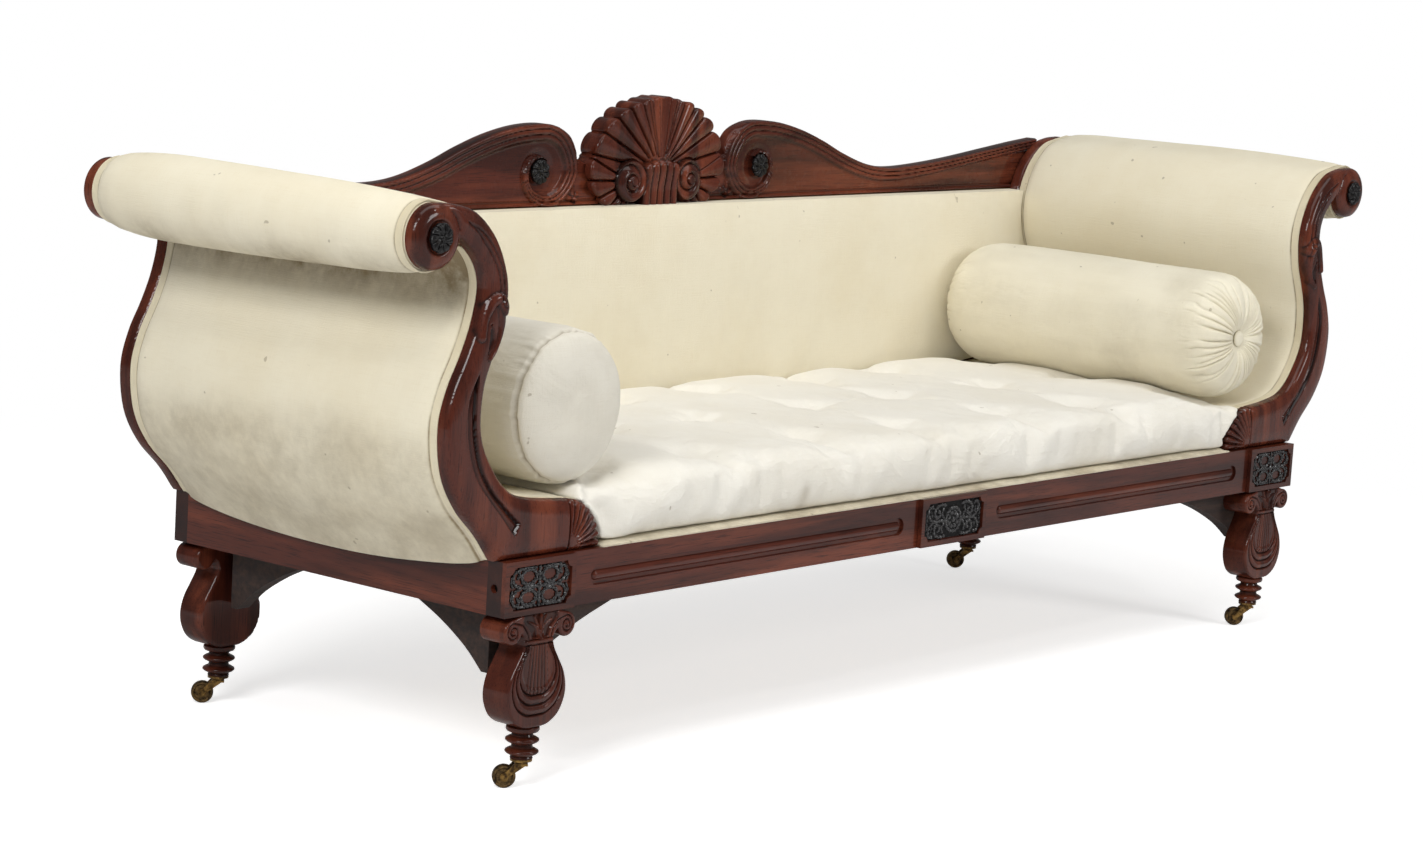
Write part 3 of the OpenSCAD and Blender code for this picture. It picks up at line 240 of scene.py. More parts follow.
def mahogany(name, grain="X", tone=1.0, gloss=0.28, end_grain=None):
    """Polished mahogany whose grain runs along one axis, darker in an attribute called hollow
    (grime and painted shade in the carving) and past a distance called end_grain, where the
    board is sawn across."""
    wood = Finish(name)
    along = {"X": (1, 0, 0), "Y": (0, 1, 0), "Z": (0, 0, 1)}[grain]
    streak = wood.place(tuple(0.09 if a else 1.0 for a in along))
    fibre = wood.place(tuple(0.022 if a else 1.0 for a in along))
    warp = wood.noise(streak, 7, 2, 0.5, 0.6)
    bands = (warp * 30 + wood.noise(streak, 60, 3, 0.6) * 3).sine() * 0.5 + 0.5
    ribbon = wood.noise(streak, 24, 3, 0.55, 0.3)
    pores = wood.noise(fibre, 950, 2, 0.6)
    shade = wood.mix(bands.between(0.0, 1.0) * 0.7, RED_MID, RED_DARK)
    shade = wood.mix(ribbon.between(0.42, 0.72), shade, RED_LIGHT)
    shade = wood.mix(wood.noise(wood.place(), 2.3, 2).between(0.35, 0.75) * 0.45, shade, RED_DARK)
    shade = wood.mix(pores.between(0.54, 0.68) * 0.7, shade, RED_PORE)
    # Grime and painted shade in the carving's hollows darken it towards the pore colour.
    shade = wood.mix(wood.attribute("hollow"), shade, RED_PORE)
    if end_grain is not None:
        out = wood.part(wood.place(), "X").absolute()
        sawn = out.between(end_grain - 0.0006, end_grain - 0.0001)
        shade = wood.mix(sawn * 0.85, shade, RED_PORE)
    shade = wood.mix(1.0, shade, (tone, tone, tone, 1), "MULTIPLY")
    scuffs = wood.noise(wood.place(), 38, 4, 0.65).between(0.45, 0.8)
    return wood.surface({
        "Base Color": shade,
        "Roughness": scuffs * 0.22 + gloss + wood.attribute("hollow") * 0.2,
        "Coat Weight": 0.40, "Coat Roughness": 0.075, "Specular IOR Level": 0.05,
        "Normal": wood.bump(pores * -0.6 + bands * 0.15, 0.00035)})


def dress(material, *nodes):
    """Gives a material to CAD nodes whose shape is right as it is."""
    for node in nodes:
        mesh = bpy.data.objects[node].data
        mesh.materials.clear()
        mesh.materials.append(material)


rail_wood = mahogany("rail_mahogany", "X", 1.0, 0.28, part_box("front_rail")[1][0])
dress(rail_wood, "front_rail", "back_rail")
dress(mahogany("end_rail_mahogany", "Y", 1.05), "end_rail_left", "end_rail_right")
block_wood = mahogany("block_mahogany", "X", 0.8)
dress(block_wood, "block_left", "block_centre", "block_right")


# Sawn beech out of sight: the cross rails, corner blocks, back frame and the arms' insides.
def sawn_timber(name, light, dark, grain_turn=(0, 0, 0)):
    beech = Finish(name)
    streak = beech.place((0.07, 1, 1), grain_turn)
    lines = beech.noise(streak, 90, 4, 0.65)
    saw = (beech.part(beech.place(), "X") * 1500 + beech.noise(beech.place(), 30) * 4).sine()
    return beech.surface({
        "Base Color": beech.mix(lines.between(0.3, 0.75), dark, light),
        "Roughness": lines * 0.2 + 0.65,
        "Normal": beech.bump(lines + saw * 0.1, 0.0006)})


beech_wood = sawn_timber("sawn_beech", rgb(176, 142, 98), rgb(122, 92, 58))
dress(beech_wood, "seat_cross_rails", "glue_blocks", "back_posts", "back_rails",
      "arm_frame_left", "arm_frame_right")
dress(sawn_timber("bracket_wood", rgb(62, 44, 36), rgb(30, 20, 17)), "leg_brackets")


# Old iron bolt heads at the bottom of the holes.
def aged_metal(name, light, dark, metallic, low_rough, high_rough):
    metal = Finish(name)
    cloud = metal.noise(metal.place(), 140, 4, 0.65)
    fine = metal.noise(metal.place(), 900, 3, 0.6)
    return metal.surface({
        "Base Color": metal.mix(cloud.between(0.32, 0.68), dark, light),
        "Metallic": metallic,
        "Roughness": cloud * (high_rough - low_rough) + low_rough,
        "Normal": metal.bump(fine + cloud, 0.0004)})


dress(aged_metal("bolt_iron", rgb(64, 58, 54), rgb(26, 22, 20), 0.9, 0.4, 0.8), "frame_bolts")


# ---- Carving
# A carved board is sawn to an outline and worked from its face. The outline is a distance that
# is below zero inside, and the face is a height over the plane of the board, both in metres.

# A distance for places that a cut doesn't reach, and how near to the outline, in steps of the
# grid, a place is drawn on to it
NOWHERE, SNAP = 9.0, 0.35


def smooth_line(points, steps=8):
    """A smooth curve through points, as a cutter would swing between pencil marks."""
    p = np.asarray(points, float)
    p = np.vstack([2 * p[0] - p[1], p, 2 * p[-1] - p[-2]])
    t = np.linspace(0, 1, steps, endpoint=False)[:, None]
    runs = [0.5 * (2 * b + (c - a) * t + (2 * a - 5 * b + 4 * c - d) * t ** 2
                   + (3 * b - a - 3 * c + d) * t ** 3)
            for a, b, c, d in zip(p, p[1:], p[2:], p[3:])]
    return np.vstack(runs + [p[-2:-1]])


def line_distance(x, z, line, closed=False):
    """Distance to a line, and how far along it the nearest place is, from 0 to 1."""
    line = np.asarray(line, float)
    ends = np.vstack([line[1:], line[:1]]) if closed else line[1:]
    starts = line if closed else line[:-1]
    lengths = np.hypot(*(ends - starts).T)
    run = np.concatenate([[0], np.cumsum(lengths)])
    best, where = np.full(x.shape, NOWHERE), np.zeros(x.shape)
    for i, (a, b) in enumerate(zip(starts, ends)):
        d = b - a
        t = np.clip(((x - a[0]) * d[0] + (z - a[1]) * d[1]) / max(d @ d, 1e-12), 0, 1)
        far = np.hypot(x - a[0] - t * d[0], z - a[1] - t * d[1])
        nearer = far < best
        best = np.where(nearer, far, best)
        where = np.where(nearer, (run[i] + t * lengths[i]) / run[-1], where)
    return best, where


def outline_distance(x, z, outline):
    """Distance to a closed outline, below zero inside it."""
    outline = np.asarray(outline, float)
    far, _ = line_distance(x, z, outline, True)
    inside = np.zeros(x.shape, bool)
    for a, b in zip(outline, np.roll(outline, -1, 0)):
        if a[1] != b[1]:
            cut = a[0] + (z - a[1]) * (b[0] - a[0]) / (b[1] - a[1])
            inside ^= ((a[1] > z) != (b[1] > z)) & (x < cut)
    return np.where(inside, -far, far)


def eased(edge, radius):
    """How far a face falls towards its edge where the arris is rounded."""
    reach = np.clip(1 + edge / radius, 0, 1)
    return radius * (1 - np.sqrt(1 - reach ** 2))


def hump(share):
    """A parabola, 1 at a share of 0 and nothing past 1."""
    return np.clip(1 - share ** 2, 0, 1)


def dome(share):
    return np.sqrt(hump(share))


def bell(share):
    return np.exp(-share ** 2)


def folded(count):
    """1 at each whole number and 0 halfway between, as across a row of equal folds."""
    return np.abs(count % 1 * 2 - 1)


def groove(far, half, depth):
    """A gouge cut of a half width and depth along a line."""
    return depth * hump(far / half)


def scored(height, grime_and_shade, far, half, depth, dark, dark_reach):
    """A gouge cut, and grime with painted shade down in it over a narrower half width."""
    return height - groove(far, half, depth), grime_and_shade + dark * soft(dark_reach - far, 0, dark_reach)


def soft(value, low, high):
    t = np.clip((value - low) / (high - low), 0, 1)
    return t * t * (3 - 2 * t)


def carve(shape, low, high, step):
    """The face of a carved board on a fine grid, cut along its outline.
    shape(x, z) gives the outline's distance, the height and how much grime and painted shade darken
    each place."""
    xs = np.linspace(low[0], high[0], int(round((high[0] - low[0]) / step)) + 1)
    zs = np.linspace(low[1], high[1], int(round((high[1] - low[1]) / step)) + 1)
    x, z = np.meshgrid(xs, zs, indexing="ij")
    edge = shape(x, z)[0]
    gx, gz = np.gradient(edge, xs, zs)
    near = np.abs(edge) < SNAP * step
    steep = np.maximum(gx ** 2 + gz ** 2, 0.25)
    x = np.where(near, x - edge * gx / steep, x)
    z = np.where(near, z - edge * gz / steep, z)
    edge = np.where(near, 0, edge)
    inside = edge <= 0
    count = len(zs)
    points = np.stack([x, z], -1).reshape(-1, 2)
    values, held = edge.reshape(-1), inside.reshape(-1)
    corners = [(0, 0), (1, 0), (1, 1), (0, 1)]
    total = sum(inside[a:len(xs) - 1 + a, b:count - 1 + b].astype(int) for a, b in corners)
    i, j = np.nonzero(total == 4)
    k = i * count + j
    faces = np.stack([k, k + count, k + count + 1, k + 1], 1).tolist()
    extra, crossed = [], {}

    def crossing(a, b):
        key = (min(a, b), max(a, b))
        if key not in crossed:
            t = values[a] / (values[a] - values[b])
            crossed[key] = len(points) + len(extra)
            extra.append(points[a] + t * (points[b] - points[a]))
        return crossed[key]

    for i, j in zip(*np.nonzero((total > 0) & (total < 4))):
        ring = [(i + a) * count + j + b for a, b in corners]
        face = []
        for a, b in zip(ring, ring[1:] + ring[:1]):
            if held[a]:
                face.append(a)
            if held[a] != held[b] and values[a] != 0 and values[b] != 0:
                face.append(crossing(a, b))
        if len(face) > 2:
            faces.append(face)
    used = np.unique(np.concatenate(faces))
    place = {v: i for i, v in enumerate(used.tolist())}
    points = np.vstack([points] + extra)[used]
    faces = [[place[v] for v in f] for f in faces]
    _, height, grime_and_shade = shape(points[:, 0], points[:, 1])
    return points, height, np.clip(grime_and_shade, 0, 1), faces


def ring_pairs(loop):
    """Each place of a closed loop with the next."""
    return zip(loop, loop[1:] + loop[:1])


def rims(faces):
    """The closed loops of edges that only one face has, in the faces' own direction."""
    edges = {pair for f in faces for pair in ring_pairs(f)}
    following = {a: b for a, b in edges if (b, a) not in edges}
    loops = []
    while following:
        a = next(iter(following))
        loop = []
        while a in following:
            loop.append(a)
            a = following.pop(a)
        loops.append(loop)
    return loops


def mark(mesh, name, values):
    """Gives the points of a mesh a value that its finish reads, such as how much grime and painted
    shade darken them.
    """
    layer = mesh.attributes.new(name, "FLOAT", "POINT")
    layer.data.foreach_set("value", np.asarray(values, np.float32))


def finished(name, mesh, material, body, crease=None):
    """Puts a mesh in the scene with its material, and lets it ride on a body."""
    mesh.validate()
    mesh.shade_smooth()
    if crease is not None:
        mesh.set_sharp_from_angle(angle=math.radians(crease))
    mesh.materials.append(material)
    made = linked(name, mesh)
    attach(made, body)
    return made


def stand_in(piece, node):
    """A finished piece takes the place of its plain CAD node. The piece itself is not used."""
    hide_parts(node)


def board(name, node, carved, face_y, back_y, material, side=1, shift=(0, 0), pierced=False,
          crease=38):
    """A board from its carved face: walls run back from every rim to a flat back. Where the
    board is pierced, its back is a copy of the face, holes and all."""
    points, height, grime_and_shade, faces = carved
    count = len(points)
    front = np.stack([points[:, 0] * side + shift[0], face_y - height, points[:, 1] + shift[1]], 1)
    loops = rims(faces)
    rim = [v for loop in loops for v in loop]
    if pierced:
        behind = dict(enumerate(range(count, 2 * count)))
        back, back_grime_and_shade = front.copy(), grime_and_shade
        made = faces + [[behind[v] for v in reversed(f)] for f in faces]
    else:
        behind = dict(zip(rim, range(count, count + len(rim))))
        back, back_grime_and_shade = front[rim], np.zeros(len(rim))
        made = faces + [[behind[v] for v in reversed(loop)] for loop in loops]
    made = made + [[b, a, behind[a], behind[b]] for loop in loops for a, b in ring_pairs(loop)]
    back[:, 1] = back_y
    mesh = bpy.data.meshes.new(name)
    mesh.from_pydata(np.vstack([front, back]).tolist(), [], [f[::side] for f in made])
    # The hollow mark holds grime and painted shade down in the carving.
    mark(mesh, "hollow", np.concatenate([grime_and_shade, back_grime_and_shade]))
    stand_in(finished(name, mesh, material, "frame", crease), node)


# ---- Facings of the arms
# Each end of each arm is faced with an inch board of mahogany, sawn to a scroll and glued to the
# arm's timber. The front two are carved: a fan at the foot, a tapering flute, a folded leaf, a
# double line and a plain volute.
RAIL_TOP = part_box("front_rail")[1][2]
SCROLL_X, SCROLL_RISE, SCROLL_RADIUS = 1.140, 0.431, 0.043
FOOT_TIP, FAN_RADIUS, FAN_RISE, FAN_LOBES = 0.798, 0.066, 0.005, 8
FAN_SWEEP, FAN_SCALLOP, ROSETTE_SEAT, CURL_LINE = math.pi / 2 + 0.076, 0.0028, 0.0215, 0.0405
ARM_INNER = [(0.193, 0.165), (0.348, 0.176), (0.488, 0.197), (0.573, 0.237), (0.637, 0.295),
             (0.690, 0.364), (0.711, 0.439), (0.702, 0.541), (0.664, 0.626), (0.617, 0.712),
             (0.596, 0.814), (0.617, 0.903), (0.684, 0.998), (0.789, 1.069), (0.898, 1.094),
             (1.000, 1.100)]
ARM_OUTER = [(0.594, 0.000), (0.681, 0.084), (0.798, 0.174), (0.880, 0.285), (0.904, 0.427),
             (0.868, 0.538), (0.807, 0.633), (0.757, 0.731), (0.731, 0.838), (0.760, 0.912),
             (0.839, 0.974), (0.912, 1.005)]
FLUTE_OUT = [(1.053, 0.574), (1.071, 0.537), (1.071, 0.495), (1.062, 0.457), (1.047, 0.428),
             (1.024, 0.402), (0.998, 0.376), (0.972, 0.348)]
FLUTE_IN = [(1.053, 0.574), (1.055, 0.536), (1.053, 0.495), (1.041, 0.451), (1.020, 0.417),
            (0.990, 0.388), (0.962, 0.365)]
DOUBLE_LINE = [(1.088, 0.766), (1.064, 0.752), (1.036, 0.723), (1.021, 0.695), (1.018, 0.659)]
LEAF_SPINE = [(1.012, 0.652), (1.022, 0.664), (1.036, 0.662), (1.050, 0.640), (1.053, 0.616)]
LEAF_TAIL = [(1.020, 0.655), (1.016, 0.630), (1.022, 0.604), (1.036, 0.588)]
LEAF_SLIT = [(1.036, 0.632), (1.033, 0.612), (1.040, 0.594)]
GADROON_DEPTH, FLUTE_DEPTH, FLUTE_BEAD, LEAF_RISE, TAIL_RISE = 0.0085, 0.0055, 0.0034, 0.0055, 0.004
SCROLL_Z = RAIL_TOP + SCROLL_RISE
FAN_X, FAN_Z = FOOT_TIP + FAN_RADIUS, RAIL_TOP + FAN_RISE
REACH = SCROLL_X - FOOT_TIP

arm_inner, arm_outer = (
    smooth_line([(FOOT_TIP + a * REACH, RAIL_TOP + b * SCROLL_RISE) for a, b in shares], 5)
    for shares in (ARM_INNER, ARM_OUTER))
fan_turn = np.linspace(math.pi + math.asin(FAN_RISE / FAN_RADIUS), math.pi / 2, 97)
fan_lobe = np.abs(np.sin((fan_turn - math.pi / 2) / FAN_SWEEP * math.pi * FAN_LOBES))
fan_reach = FAN_RADIUS - FAN_SCALLOP * (1 - np.sqrt(fan_lobe))
fan_rim, plain_rim = (
    np.stack([FAN_X + reach * np.cos(turn), FAN_Z + reach * np.sin(turn)], 1)
    for reach, turn in ((fan_reach, fan_turn), (FAN_RADIUS, fan_turn[::8])))


def arm_edge(x, z, rim):
    outline = np.vstack([rim, arm_inner, (SCROLL_X, SCROLL_Z), arm_outer[::-1]])
    disc = np.hypot(x - SCROLL_X, z - SCROLL_Z) - SCROLL_RADIUS
    return np.minimum(outline_distance(x, z, outline), disc)


def plain_facing(x, z):
    edge = arm_edge(x, z, plain_rim)
    return edge, -eased(edge, 0.006), 0 * x


def carved_facing(x, z):
    edge = arm_edge(x, z, fan_rim)
    height = -eased(edge, 0.007) - 0.004 * np.clip(1 + edge / 0.026, 0, 1) ** 2
    # Grime and painted shade: darker along the rounded edge, and below down in the fan's cuts, the
    # flute, the double line, round the leaf and at the rosette's seat.
    grime_and_shade = soft(edge, -0.004, 0) * 0.15
    # The fan: gadroons that swell towards the rim, parted by sharp cuts
    far, turn = np.hypot(x - FAN_X, z - FAN_Z), np.arctan2(z - FAN_Z, x - FAN_X)
    turn = np.where(turn < -1, turn + 2 * math.pi, turn)
    share = (turn - math.pi / 2) / FAN_SWEEP
    in_fan = (share > 0) & (far < FAN_RADIUS + 0.002) & (z < FAN_Z + FAN_RADIUS)
    phase = folded(share * FAN_LOBES)
    swell = dome(phase)
    grow = soft(far, 0.004, 0.05)
    height = np.where(in_fan, height - GADROON_DEPTH * grow * (1 - swell), height)
    grime_and_shade = np.where(in_fan, grime_and_shade + 0.95 * grow * soft(phase, 0.66, 0.98), grime_and_shade)
    cut = np.where((x > FAN_X - 0.003) & (z < FAN_Z + FAN_RADIUS), np.abs(x - FAN_X), NOWHERE)
    height, grime_and_shade = scored(height, grime_and_shade, cut, 0.002, 0.003, 0.8, 0.002)
    # The tapering flute, with a bead round it
    rim = np.vstack([smooth_line(FLUTE_OUT, 5), smooth_line(FLUTE_IN, 5)[::-1]])
    flute = outline_distance(x, z, rim)
    height -= FLUTE_DEPTH * soft(-flute, 0, 0.0026)
    height += FLUTE_BEAD * bell((flute + 0.0092) / 0.0036)
    grime_and_shade += 0.95 * bell((flute + 0.0020) / 0.0019)
    grime_and_shade += 0.3 * soft(-flute, 0, 0.002)
    # The double line from the volute to the leaf
    line, run = line_distance(x, z, smooth_line(DOUBLE_LINE, 6))
    line = np.abs(line - 0.0042 * soft(run, 0.0, 0.35))
    height, grime_and_shade = scored(height, grime_and_shade, line, 0.0017, 0.0024, 0.8, 0.0016)
    # The folded leaf that clasps the arm at its waist
    spine, run = line_distance(x, z, smooth_line(LEAF_SPINE, 6))
    height += LEAF_RISE * dome(spine / (0.0095 - 0.004 * run))
    grime_and_shade += 0.85 * bell((spine - (0.0105 - 0.004 * run)) / 0.0014)
    tail, run = line_distance(x, z, smooth_line(LEAF_TAIL, 6))
    height += TAIL_RISE * dome(tail / (0.0075 - 0.004 * run))
    grime_and_shade += 0.6 * bell((tail - (0.0085 - 0.004 * run)) / 0.0014)
    slit, run = line_distance(x, z, smooth_line(LEAF_SLIT, 6))
    wide = 0.006 * np.sin(math.pi * np.clip(run, 0.08, 0.92))
    height -= 0.004 * hump(slit / wide)
    grime_and_shade += 0.9 * hump(slit / wide)
    # The volute: a round shoulder and a sunk seat for the rosette
    disc = np.hypot(x - SCROLL_X, z - SCROLL_Z)
    round_face = -eased(edge, 0.008) - 0.0045 * soft(disc, 0.022, 0.043) ** 2
    round_face = round_face - 0.0025 * soft(disc, 0.024, 0.021)
    near = 1 - soft(disc, 0.037, 0.047)
    curl = np.where(edge < -0.009, np.abs(disc - CURL_LINE), NOWHERE)
    height = height * (1 - near) + round_face * near - groove(curl, 0.0016, 0.0018)
    grime_and_shade = grime_and_shade * (1 - near) + 0.8 * bell((disc - ROSETTE_SEAT) / 0.0015)
    grime_and_shade += 0.55 * soft(0.0016 - curl, 0, 0.0016)
    return edge, height, grime_and_shade


ARM_LOW, ARM_HIGH = (0.79, 0.312), (1.19, 0.80)
front_facing = carve(carved_facing, ARM_LOW, ARM_HIGH, 0.0015)
back_facing = carve(plain_facing, ARM_LOW, ARM_HIGH, 0.003)
facing_wood = mahogany("facing_mahogany", "Z", 1.0, 0.22)
SIDES = ((-1, "left"), (1, "right"))
for side, word in SIDES:
    for carved, end in ((front_facing, "front"), (back_facing, "back")):
        node = f"facing_{end}_{word}"
        low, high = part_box(node)
        board(f"shaped_{node}", node, carved, low[1], high[1], facing_wood, side)


# ---- Legs
# Each leg is a thick board sawn to a lyre with two scrolled horns, and glued under its rail. The
# front pair is carved with a leaf above a band, reeds below it and three lines that follow the
# outline; the back pair is plain.
LEG_HEIGHT, LEG_HALF, LEG_SCROLL, LEG_SCROLL_X = 0.156, 0.057, 0.017, 0.052
LEG_SHARES = [(0.00, 0.000), (0.39, 0.010), (0.75, 0.083), (0.95, 0.200), (1.00, 0.320),
              (0.91, 0.455), (0.70, 0.583), (0.54, 0.680), (0.49, 0.750), (0.54, 0.810),
              (0.74, 0.865)]
LEG_SCROLL_Z = LEG_HEIGHT - 1.25 * LEG_SCROLL
NECK_Z, BAND_HALF = 0.117, 0.0035
LEAF_FOOT = NECK_Z + 0.004
LINE_SIZES, REEDED_SIZE, REEDS = (0.85, 0.73, 0.62), 0.60, 3
LEAF_BLADES = ((0, 0.034), (0.36, 0.033), (0.80, 0.032))   # how far each leans, and its length
leg_half_line = smooth_line([(a * LEG_HALF, b * LEG_HEIGHT) for a, b in LEG_SHARES], 6)
leg_half_line = np.vstack([leg_half_line, [[LEG_SCROLL_X, LEG_SCROLL_Z + LEG_SCROLL],
                                           [0.038, LEG_HEIGHT]]])
leg_outline = np.vstack([leg_half_line, leg_half_line[::-1] * (-1, 1)])
below = leg_half_line[leg_half_line[:, 1] < NECK_Z + 0.001]
below_turn = np.arctan2(NECK_Z - below[:, 1], below[:, 0])
below_reach = np.hypot(below[:, 0], NECK_Z - below[:, 1])
in_order = np.argsort(below_turn)


def leg_edge(x, z):
    horn = np.hypot(np.abs(x) - LEG_SCROLL_X, z - LEG_SCROLL_Z) - LEG_SCROLL
    return np.minimum(outline_distance(x, z, leg_outline), horn)


def plain_leg(x, z):
    edge = leg_edge(x, z)
    return edge, -eased(edge, 0.003), 0 * x


def carved_leg(x, z):
    edge = leg_edge(x, z)
    height = -eased(edge, 0.0035)
    # Grime and painted shade: darker along the rounded edge, down in the lines, reeds, band and
    # spirals, on the leaf's sunk ground and along each blade's spine.
    grime_and_shade = soft(edge, -0.003, 0) * 0.1
    wide = np.abs(x)
    # Lines that shrink towards the neck, and reeds inside the last of them
    turn, far = np.arctan2(NECK_Z - z, wide), np.hypot(x, NECK_Z - z)
    reach = np.interp(turn, below_turn[in_order], below_reach[in_order])
    size = far / np.maximum(reach, 1e-6)
    low = z < NECK_Z - 0.002
    for line in LINE_SIZES:
        cut = np.where(low, np.abs(size - line) * reach, NOWHERE)
        height -= groove(cut, 0.0019, 0.0034)
        grime_and_shade += 0.95 * soft(0.0019 - cut, 0, 0.0016)
        height += np.where(low, 0.0012 * bell((size - line + 0.06) * reach / 0.0026), 0)
    fan_out = wide / (NECK_Z + 0.13 - z) / 0.112
    inner = low & (size < REEDED_SIZE)
    reeded = inner & (fan_out < 1) & (z > 0.030)
    phase = folded(fan_out * REEDS)
    height = np.where(reeded, height + 0.0022 * dome(phase) - 0.0024, height)
    grime_and_shade = np.where(reeded, grime_and_shade + 0.95 * soft(phase, 0.62, 1.0), grime_and_shade)
    height = np.where(inner & ~reeded, height - 0.0012, height)
    # The band round the neck
    for line in (NECK_Z - BAND_HALF, NECK_Z + BAND_HALF):
        cut = np.where(wide < 0.027, np.abs(z - line), NOWHERE)
        height, grime_and_shade = scored(height, grime_and_shade, cut, 0.0013, 0.002, 0.8, 0.0013)
    # The five blades of the leaf on a sunk ground
    sunk = [(0.016, NECK_Z + 0.005), (0.021, 0.134), (0.034, 0.1475), (0.030, LEG_HEIGHT + 0.01)]
    ground = outline_distance(x, z, [(-a, b) for a, b in sunk[:1]] + sunk
                              + [(-a, b) for a, b in sunk[:0:-1]])
    height -= 0.0035 * soft(-ground, 0, 0.0015)
    grime_and_shade += 0.7 * soft(-ground, -0.001, 0.002)
    for lean, length in LEAF_BLADES:
        for way in (-1, 1):
            tip = (way * length * math.sin(lean), LEAF_FOOT + length * math.cos(lean) ** 0.7)
            bow = (way * length * 0.30 * math.sin(lean), LEAF_FOOT + length * 0.5)
            spine = smooth_line([(way * 0.002, LEAF_FOOT), bow, tip], 5)
            blade, run = line_distance(x, z, spine)
            width = 0.0042 * np.sqrt(np.clip(1.02 - run, 0, 1)) * (0.45 + 0.8 * run) + 1e-6
            full = hump(blade / width)
            height += 0.0030 * full * soft(-ground, -0.002, 0)
            grime_and_shade = grime_and_shade * (1 - 0.9 * soft(full, 0.25, 0.9))
            grime_and_shade += 0.5 * bell(blade / 0.0007) * (run < 0.9)
    # The horns: a line inside each, curling to its eye
    sweep = np.linspace(0, 1, 60)
    curl = math.radians(110) - sweep * math.radians(600)
    reach = 0.0125 - 0.0095 * sweep
    spiral = np.stack([LEG_SCROLL_X + reach * np.cos(curl), LEG_SCROLL_Z + reach * np.sin(curl)], 1)
    lead = smooth_line([(0.0215, NECK_Z + 0.006), (0.0245, 0.131), (0.034, 0.1425)], 5)
    cut, run = line_distance(wide, z, np.vstack([lead, spiral]))
    height, grime_and_shade = scored(height, grime_and_shade, cut, 0.0016, 0.0026, 0.9, 0.0014)
    eye = np.hypot(wide - LEG_SCROLL_X, z - LEG_SCROLL_Z)
    height += 0.002 * hump(eye / 0.0035)
    return edge, height, grime_and_shade


leg_wood = mahogany("leg_mahogany", "Z", 0.95, 0.3)
front_leg = carve(carved_leg, (-0.072, -0.003), (0.072, 0.159), 0.0009)
back_leg = carve(plain_leg, (-0.072, -0.003), (0.072, 0.159), 0.0025)
for word in ("left", "right"):
    for carved, end in ((front_leg, "front"), (back_leg, "back")):
        node = f"leg_{end}_{word}"
        low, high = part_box(node)
        middle = ((low[0] + high[0]) / 2, low[2])
        board(f"shaped_{node}", node, carved, low[1], high[1], leg_wood, 1, middle)


# ---- Crest
# The crest is one mahogany board on top of the back's frame, and sweeps up to two volutes. Three
# reeds follow its top edge and wind round each volute to a black rosette; a thin bead runs along
# the bottom.
CREST_HALF, CREST_HEIGHT, VOLUTE_X, VOLUTE_RISE = 1.080, 0.131, 0.271, 0.056
CREST_STEP = 0.065
CREST_SHARES = [(0.166, 0.55), (0.169, 0.68), (0.185, 0.86), (0.215, 0.965), (0.250, 1.00),
                (0.300, 0.97), (0.355, 0.875), (0.410, 0.73), (0.460, 0.57), (0.515, 0.43),
                (0.560, 0.365), (0.610, 0.35), (0.680, 0.385), (0.760, 0.45), (0.860, 0.555),
                (0.940, 0.64), (1.000, 0.695)]
crest_top = smooth_line([(a * CREST_HALF, b * CREST_HEIGHT) for a, b in CREST_SHARES], 8)
crest_half_outline = np.vstack([(-0.05, CREST_STEP), (0.150, CREST_STEP), (0.172, 0.073),
                                crest_top[1:], (CREST_HALF, 0), (-0.05, 0)])
# Reach of the volute's outer line from its eye: up, inboard, down, outboard and in to the rosette,
# and the width of the three reeds beside it
WINDING_TURNS = np.radians([0, 45, 90, 135, 180, 225, 270, 315, 360, 405])
WINDING_REACH = [0.075, 0.083, 0.089, 0.070, 0.050, 0.042, 0.035, 0.029, 0.025, 0.0225]
WINDING_WIDTH = [0.026, 0.027, 0.028, 0.022, 0.016, 0.013, 0.010, 0.007, 0.004, 0.002]


